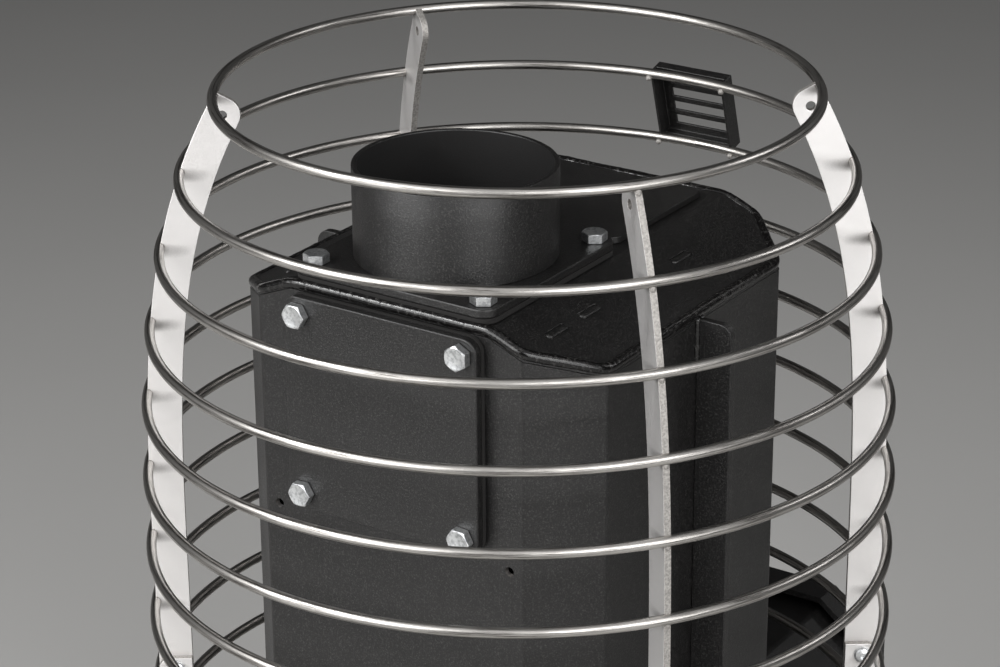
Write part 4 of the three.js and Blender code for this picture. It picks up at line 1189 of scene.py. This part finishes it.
class STOVE_OT_fins(bpy.types.Operator):
    """Upright fins on the sides of the body, with a weld at the top of each"""

    bl_idname = "stove.fins"
    bl_label = "Side fins"

    def execute(self, context):
        for node in ("fin_left", "fin_right"):
            add_sheet(node, 1, 1, black_paint, "stove", "black_paint")
            low, high = BOXES[node]
            sign = 1 if low.x > 0 else -1
            wall = min(abs(low.x), abs(high.x)) * sign
            beads = []
            for seed, y in enumerate((low.y, high.y)):
                for top in (high.z + 1 * MM, high.z - 260 * MM):
                    steps = 24
                    line = [Vector((wall, y, top - 26 * MM * k / steps)) for k in range(steps + 1)]
                    points, radii = rippled(line, 1.9 * MM, 4 * MM, 20 + seed)
                    radii[0] *= 0.5
                    radii[-1] *= 0.3
                    beads.append(sweep(points, radii, 12, up=Vector((0, 1, 0))))
            mesh = mesh_from(joined(*beads), node + "_weld", 70)
            add_piece(node + "_weld", mesh, black_paint_on_weld, "stove", "black_paint")
        return {"FINISHED"}


class STOVE_OT_doubler(bpy.types.Operator):
    """Raised plate on the top plate, in front of the flue"""

    bl_idname = "stove.doubler"
    bl_label = "Top doubler"

    def execute(self, context):
        add_sheet("top_doubler", 2, 1, black_paint, "stove", "black_paint")
        return {"FINISHED"}


class STOVE_OT_flue(bpy.types.Operator):
    """Flue collar on its flange and gasket"""

    bl_idname = "stove.flue"
    bl_label = "Flue outlet"

    def execute(self, context):
        add_sheet("flue_gasket", 2, 1, fibre_gasket, "stove", "fibre_gasket", 0.3 * MM)
        add_sheet("flue_flange", 2, 1, black_paint, "stove", "black_paint", 0.8 * MM)
        low, high = BOXES["flue_collar"]
        outer = (high.x - low.x) / 2
        inner = outer - sizes().collar_wall
        ease = 0.7 * MM
        tall = high.z - low.z
        rim = [(outer, tall - ease), (outer - 0.3 * ease, tall - 0.3 * ease), (outer - ease, tall)]
        lip = [(inner + ease, tall), (inner + 0.3 * ease, tall - 0.3 * ease), (inner, tall - ease)]
        collar = lathe([(inner, 0), (outer, 0), *rim, *lip], 144)
        for face in collar.faces:
            face.material_index = face.calc_center_median().xy.length < inner + 0.1 * ease
        collar.transform(Matrix.Translation(((low.x + high.x) / 2, (low.y + high.y) / 2, low.z)))
        mesh = mesh_from(collar, "flue_collar")
        add_piece("flue_collar_finish", mesh, black_paint, "stove", "black_paint", "flue_collar")
        mesh.materials.append(finish(dry_paint_in_flue))
        return {"FINISHED"}


def hex_bolt(flats, tall, shank_length, shank_r):
    """A hexagon bolt on Z with a chamfered head that stands on Z = 0, and a plain shank below."""
    bm = bmesh.new()
    steps = 72
    apothem = flats / 2
    face_r = 0.97 * apothem
    chamfer = math.tan(math.radians(28))
    levels = []
    for s in range(steps):
        turn = math.tau * s / steps
        off = (turn + math.pi / 6) % (math.pi / 3) - math.pi / 6
        reach = apothem / math.cos(off)
        column = [(shank_r, -shank_length), (shank_r, 0), (reach, 0), (reach, tall - (reach - face_r) * chamfer),
                  (face_r, tall), (face_r * 0.86, tall), (face_r * 0.8, tall - 0.12 * MM)]
        levels.append([bm.verts.new((r * math.cos(turn), r * math.sin(turn), z)) for r, z in column])
    for s in range(steps):
        near, far = levels[s], levels[(s + 1) % steps]
        for k in range(len(near) - 1):
            bm.faces.new((near[k], far[k], far[k + 1], near[k + 1]))
    bm.faces.new([column[0] for column in reversed(levels)])
    bm.faces.new([column[-1] for column in levels])
    bmesh.ops.recalc_face_normals(bm, faces=bm.faces)
    sharp = [line for line in bm.edges if line.calc_face_angle() > math.radians(50)]
    bmesh.ops.bevel(bm, geom=sharp, offset=0.45 * MM, segments=3, affect="EDGES", clamp_overlap=True)
    bmesh.ops.remove_doubles(bm, verts=bm.verts, dist=WELD_DISTANCE)
    bmesh.ops.dissolve_degenerate(bm, edges=bm.edges, dist=WELD_DISTANCE)
    turn_outwards(bm)
    return bm


class STOVE_OT_bolts(bpy.types.Operator):
    """Zinc-plated hexagon bolts of the flue flange and of the rear cover"""

    bl_idname = "stove.bolts"
    bl_label = "Hexagon bolts"

    def execute(self, context):
        s = sizes()
        for index in range(1, 5):
            for stem, axis in (("flue_bolt", Vector((0, 0, 1))), ("rear_cover_bolt", Vector((0, 1, 0)))):
                name = f"{stem}_{index}"
                low, high = BOXES[name]
                deep = (high - low).dot(axis)
                bm = hex_bolt(s.bolt_flats, s.bolt_head, deep - s.bolt_head, 4 * MM)
                seat_at = (low + high) / 2 + axis * (deep / 2 - s.bolt_head)
                turned = Matrix.Rotation(math.radians(BOLT_TWISTS[stem][index - 1]), 4, "Z")
                bm.transform(Matrix.Translation(seat_at) @ axis.to_track_quat("Z", "Y").to_matrix().to_4x4() @ turned)
                add_piece(name + "_finish", mesh_from(bm, name, 18), zinc_plate, "stove", "zinc_plate", name)
        return {"FINISHED"}


class STOVE_OT_rear_cover(bpy.types.Operator):
    """Cover plate over the rear outlet, on its gasket"""

    bl_idname = "stove.rear_cover"
    bl_label = "Rear cover"

    def execute(self, context):
        add_sheet("rear_cover_gasket", 1, 1, fibre_gasket, "stove", "fibre_gasket", 0.3 * MM)
        add_sheet("rear_cover", 1, 1, black_paint, "stove", "black_paint", 0.8 * MM)
        return {"FINISHED"}


# Firebox front, door and drawer


class STOVE_OT_tunnel(bpy.types.Operator):
    """Firebox tunnel through the cage, with the bead that joins it to the body"""

    bl_idname = "stove.tunnel"
    bl_label = "Firebox tunnel"

    def execute(self, context):
        s = sizes()
        add_eased("firebox_tunnel", black_paint, "stove", "black_paint", s.sheet_edge, s.body_bend, lengthwise_bend)
        points, radii = rippled(self.seam(s), s.tunnel_bead, s.weld_pitch, 40)
        bead = sweep(points, radii, 14, up=Vector((0, 1, 0)))
        mesh = mesh_from(bead, "firebox_tunnel_weld", 70)
        add_piece("firebox_tunnel_weld", mesh, black_paint_on_weld, "stove", "black_paint")
        return {"FINISHED"}

    def seam(self, s):
        """Points up one side of the tunnel, over its top and down the other, where it meets the body."""
        outlines, _ = flat_outlines("firebox_tunnel", 1, -1)
        foot = BOXES["stone_tray"][1].z + 2 * s.tunnel_bead
        half_width = TUNNEL_HALF_WIDTH
        over = sorted(corner for corner in outlines[0] if corner[1] > TUNNEL_TOP / 2)
        corners = [Vector(corner) for corner in [(-half_width, foot), *over, (half_width, foot)]]
        low, high = BOXES["body_shell"]
        flat = high.x - s.body_corner
        points = []
        for start, end in zip(corners, corners[1:]):
            steps = max(1, round((end - start).length / (1.2 * MM)))
            for k in range(steps):
                x, z = start.lerp(end, k / steps)
                points.append(Vector((x, low.y + max(0, abs(x) - flat), z)))
        return points


class STOVE_OT_door_frame(bpy.types.Operator):
    """Front plate with the openings for the door and the drawer"""

    bl_idname = "stove.door_frame"
    bl_label = "Door frame"

    def execute(self, context):
        add_eased("door_frame", black_paint, "stove", "black_paint", 1.2 * MM)
        return {"FINISHED"}


class STOVE_OT_door(bpy.types.Operator):
    """Door leaf with its glass, holder, rope seal, handle and hinge pin"""

    bl_idname = "stove.door"
    bl_label = "Door"

    def execute(self, context):
        s = sizes()
        add_eased("door_leaf", black_paint, "door", "black_paint", 0.7 * MM)
        add_sheet("door_glass", 1, 1, glass_ceramic, "door", "ceramic_glass", 0.4 * MM)
        add_eased("glass_frame", hot_rolled_steel, "door", "bare_steel", 0.3 * MM)
        self.add_rope()
        self.add_handle(s)
        low, high = BOXES["hinge_pin"]
        centre = (low + high) / 2
        foot = Vector((centre.x, centre.y, low.z))
        top = Vector((centre.x, centre.y, high.z))
        head = Vector((0, 0, 4 * MM))
        pin = joined(straight_bar(foot, top - head, 3 * MM), straight_bar(top - head, top, 5 * MM, 1 * MM))
        add_piece("hinge_pin_finish", mesh_from(pin, "hinge_pin"), drawn_stainless, "stove", "stainless", "hinge_pin")
        return {"FINISHED"}

    def add_rope(self):
        """Rope seal round the back of the leaf."""
        outlines, level = flat_outlines("door_gasket", 1, 1)
        low, _ = BOXES["door_gasket"]
        deep = level - low.y
        outer, inner = outlines
        if (area_of(outer) > 0) != (area_of(inner) > 0):
            inner = inner[::-1]
        middle = []
        for point in outer:
            near = min(inner, key=lambda q: math.dist(point, q))
            middle.append(Vector(((point[0] + near[0]) / 2, (low.y + level) / 2, (point[1] + near[1]) / 2)))
        points = rounded_path(middle, 7 * MM, 2.5 * MM)
        rope = sweep(points, [deep / 2] * len(points), 20, closed=True, squash=(1.4, 0.98), up=Vector((0, 1, 0)))
        mesh = mesh_from(rope, "door_gasket", 60)
        add_piece("door_gasket_finish", mesh, glass_rope, "door", "glass_rope", "door_gasket")

    def add_handle(self, s):
        """Straight bar handle on two studs."""
        low, high = BOXES["door_handle"]
        x = (low.x + high.x) / 2
        y = low.y + s.handle_bar / 2
        middle = (low.z + high.z) / 2
        grip = straight_bar(Vector((x, y, low.z)), Vector((x, y, high.z)), s.handle_bar / 2, 1.2 * MM)
        studs = []
        for sign in (-1, 1):
            z = middle + sign * 30 * MM
            studs.append(straight_bar(Vector((x, y, z)), Vector((x, high.y, z)), s.handle_stud / 2))
        mesh = mesh_from(joined(grip, *studs), "door_handle")
        add_piece("door_handle_finish", mesh, drawn_stainless, "door", "stainless", "door_handle")


def rounded_path(corners, radius, spacing):
    """A closed path through corners, with each corner rounded, as closely spaced points."""
    path = []
    count = len(corners)
    for i, corner in enumerate(corners):
        before = (corners[i - 1] - corner).normalized()
        after = (corners[(i + 1) % count] - corner).normalized()
        start = corner + before * radius
        end = corner + after * radius
        for k in range(9):
            t = k / 8
            path.append(start * (1 - t) ** 2 + corner * (2 * t * (1 - t)) + end * t ** 2)
        following = corners[(i + 1) % count] - after * radius
        run = (following - end).length
        for k in range(1, max(1, int(run / spacing))):
            path.append(end.lerp(following, k * spacing / run))
    return path


class STOVE_OT_grate(bpy.types.Operator):
    """Slotted cast iron grate"""

    bl_idname = "stove.grate"
    bl_label = "Grate"

    def execute(self, context):
        add_sheet("grate", 2, 1, cast_iron, "stove", "cast_iron", 1.2 * MM)
        return {"FINISHED"}


class STOVE_OT_ash_drawer(bpy.types.Operator):
    """Ash drawer with its bar pull"""

    bl_idname = "stove.ash_drawer"
    bl_label = "Ash drawer"

    def execute(self, context):
        s = sizes()
        add_eased("ash_drawer", black_paint, "drawer", "black_paint", s.sheet_edge)
        low, high = BOXES["drawer_pull"]
        y = low.y + s.handle_stud / 2
        z = (low.z + high.z) / 2
        grip = straight_bar(Vector((low.x, y, z)), Vector((high.x, y, z)), s.handle_stud / 2, 1 * MM)
        studs = []
        for sign in (-1, 1):
            x = sign * 25 * MM
            studs.append(straight_bar(Vector((x, y, z)), Vector((x, high.y, z)), 0.98 * s.handle_stud / 2))
        mesh = mesh_from(joined(grip, *studs), "drawer_pull")
        add_piece("drawer_pull_finish", mesh, drawn_stainless, "drawer", "stainless", "drawer_pull")
        return {"FINISHED"}


class STOVE_OT_stone_tray(bpy.types.Operator):
    """Round tray under the stones"""

    bl_idname = "stove.stone_tray"
    bl_label = "Stone tray"

    def execute(self, context):
        add_sheet("stone_tray", 2, 1, black_paint, "stove", "black_paint", 0.8 * MM)
        return {"FINISHED"}


# Stage

# The camera stands behind the stove to its left. Its place is given from the cage's axis and the floor.
CAMERA_TURN = math.radians(213.5)
CAMERA_OUT = 1.55035
CAMERA_HEIGHT = 1.24576
CAMERA_YAW = math.radians(-0.38506)
CAMERA_TILT = math.radians(22.6755)
CAMERA_ROLL = math.radians(-0.40108)
CAMERA_LENS_MM = 105.01


def camera_directions():
    """Forward, right and up of the camera."""
    turn = Matrix.Rotation(CAMERA_TURN, 3, "Z")
    forward = turn @ Vector((
        math.sin(CAMERA_YAW) * math.cos(CAMERA_TILT), math.cos(CAMERA_YAW) * math.cos(CAMERA_TILT), -math.sin(CAMERA_TILT)
    ))
    level = turn @ Vector((math.cos(CAMERA_YAW), -math.sin(CAMERA_YAW), 0))
    above = level.cross(forward)
    right = level * math.cos(CAMERA_ROLL) + above * math.sin(CAMERA_ROLL)
    return forward, right, right.cross(forward)


def add_softbox(name, turn_deg, lift_deg, distance, width, height, watts):
    """A soft area lamp aimed at the stove. Its turn is counted from the camera, to the right."""
    turn = CAMERA_TURN + math.radians(turn_deg)
    lift = math.radians(lift_deg)
    aim = CAGE_AXIS + Vector((0, 0, 0.5))
    back = Vector((math.sin(turn) * math.cos(lift), -math.cos(turn) * math.cos(lift), math.sin(lift)))
    lamp = bpy.data.lights.new(name, "AREA")
    lamp.shape = "RECTANGLE"
    lamp.size = width
    lamp.size_y = height
    lamp.energy = watts
    holder = bpy.data.objects.new(name, lamp)
    holder.location = aim + back * distance
    holder.rotation_euler = (-back).to_track_quat("-Z", "Y").to_euler()
    bpy.context.scene.collection.objects.link(holder)


class STOVE_OT_stage(bpy.types.Operator):
    """Pale floor, soft studio lamps and the camera"""

    bl_idname = "stove.stage"
    bl_label = "Stage"

    def execute(self, context):
        scene = context.scene
        scene.view_settings.view_transform = "Standard"
        bm = bmesh.new()
        bmesh.ops.create_grid(bm, x_segments=2, y_segments=2, size=9)
        floor = bpy.data.objects.new("floor", mesh_from(bm, "floor"))
        floor.location.z = CAD_LOW.z - 0.2 * MM
        floor.data.materials.append(finish(studio_floor))
        scene.collection.objects.link(floor)

        world = bpy.data.worlds.new("studio")
        world.use_nodes = True
        world.node_tree.nodes["Background"].inputs["Color"].default_value = (1, 1, 1, 1)
        world.node_tree.nodes["Background"].inputs["Strength"].default_value = 0.035
        scene.world = world

        add_softbox("left_softbox", -50, 22, 2.5, 2.3, 2.0, 66)
        add_softbox("left_strip", -70, 38, 1.9, 0.24, 0.7, 14)
        add_softbox("right_strip", 95, 32, 1.9, 0.3, 0.7, 4)
        add_softbox("right_softbox", 28, 22, 2.5, 1.78, 2.0, 53)
        add_softbox("overhead_softbox", 0, 72, 2.3, 3.2, 2.0, 12)

        lens = bpy.data.cameras.new("camera")
        lens.sensor_width = 36
        lens.lens = CAMERA_LENS_MM
        lens.clip_start = 0.05
        camera = bpy.data.objects.new("camera", lens)
        forward, right, up = camera_directions()
        turn = Matrix((right, up, -forward)).transposed()
        place = CAGE_AXIS + Vector((math.sin(CAMERA_TURN) * CAMERA_OUT, -math.cos(CAMERA_TURN) * CAMERA_OUT, CAMERA_HEIGHT))
        camera.matrix_world = Matrix.Translation(place) @ turn.to_4x4()
        scene.collection.objects.link(camera)
        scene.camera = camera
        return {"FINISHED"}


PIECES = (
    STOVE_OT_stage, STOVE_OT_rings, STOVE_OT_ribs, STOVE_OT_rib_screws, STOVE_OT_badge_tray, STOVE_OT_body_shell,
    STOVE_OT_top_plate, STOVE_OT_baffle, STOVE_OT_fins, STOVE_OT_doubler, STOVE_OT_flue, STOVE_OT_bolts,
    STOVE_OT_rear_cover, STOVE_OT_tunnel, STOVE_OT_door_frame, STOVE_OT_door, STOVE_OT_grate, STOVE_OT_ash_drawer,
    STOVE_OT_stone_tray,
)


class STOVE_PT_sidebar(bpy.types.Panel):
    """Lists the pieces of the stove and their sizes and colours"""

    bl_label = "Sauna stove"
    bl_idname = "STOVE_PT_sidebar"
    bl_space_type = "VIEW_3D"
    bl_region_type = "UI"
    bl_category = "Stove"

    def draw(self, context):
        for piece in PIECES:
            self.layout.operator(piece.bl_idname)
        for group in (context.scene.stove_sizes, context.scene.stove_colours):
            column = self.layout.column()
            for name in group.__annotations__:
                column.prop(group, name)


CLASSES = (StoveSizes, StoveColours, *PIECES, STOVE_PT_sidebar)


def register():
    for cls in CLASSES:
        bpy.utils.register_class(cls)
    bpy.types.Scene.stove_sizes = PointerProperty(type=StoveSizes)
    bpy.types.Scene.stove_colours = PointerProperty(type=StoveColours)


def unregister():
    del bpy.types.Scene.stove_colours
    del bpy.types.Scene.stove_sizes
    for cls in reversed(CLASSES):
        bpy.utils.unregister_class(cls)


def main():
    register()
    for piece in PIECES:
        group, name = piece.bl_idname.split(".")
        getattr(getattr(bpy.ops, group), name)()


if __name__ == "__main__":
    main()
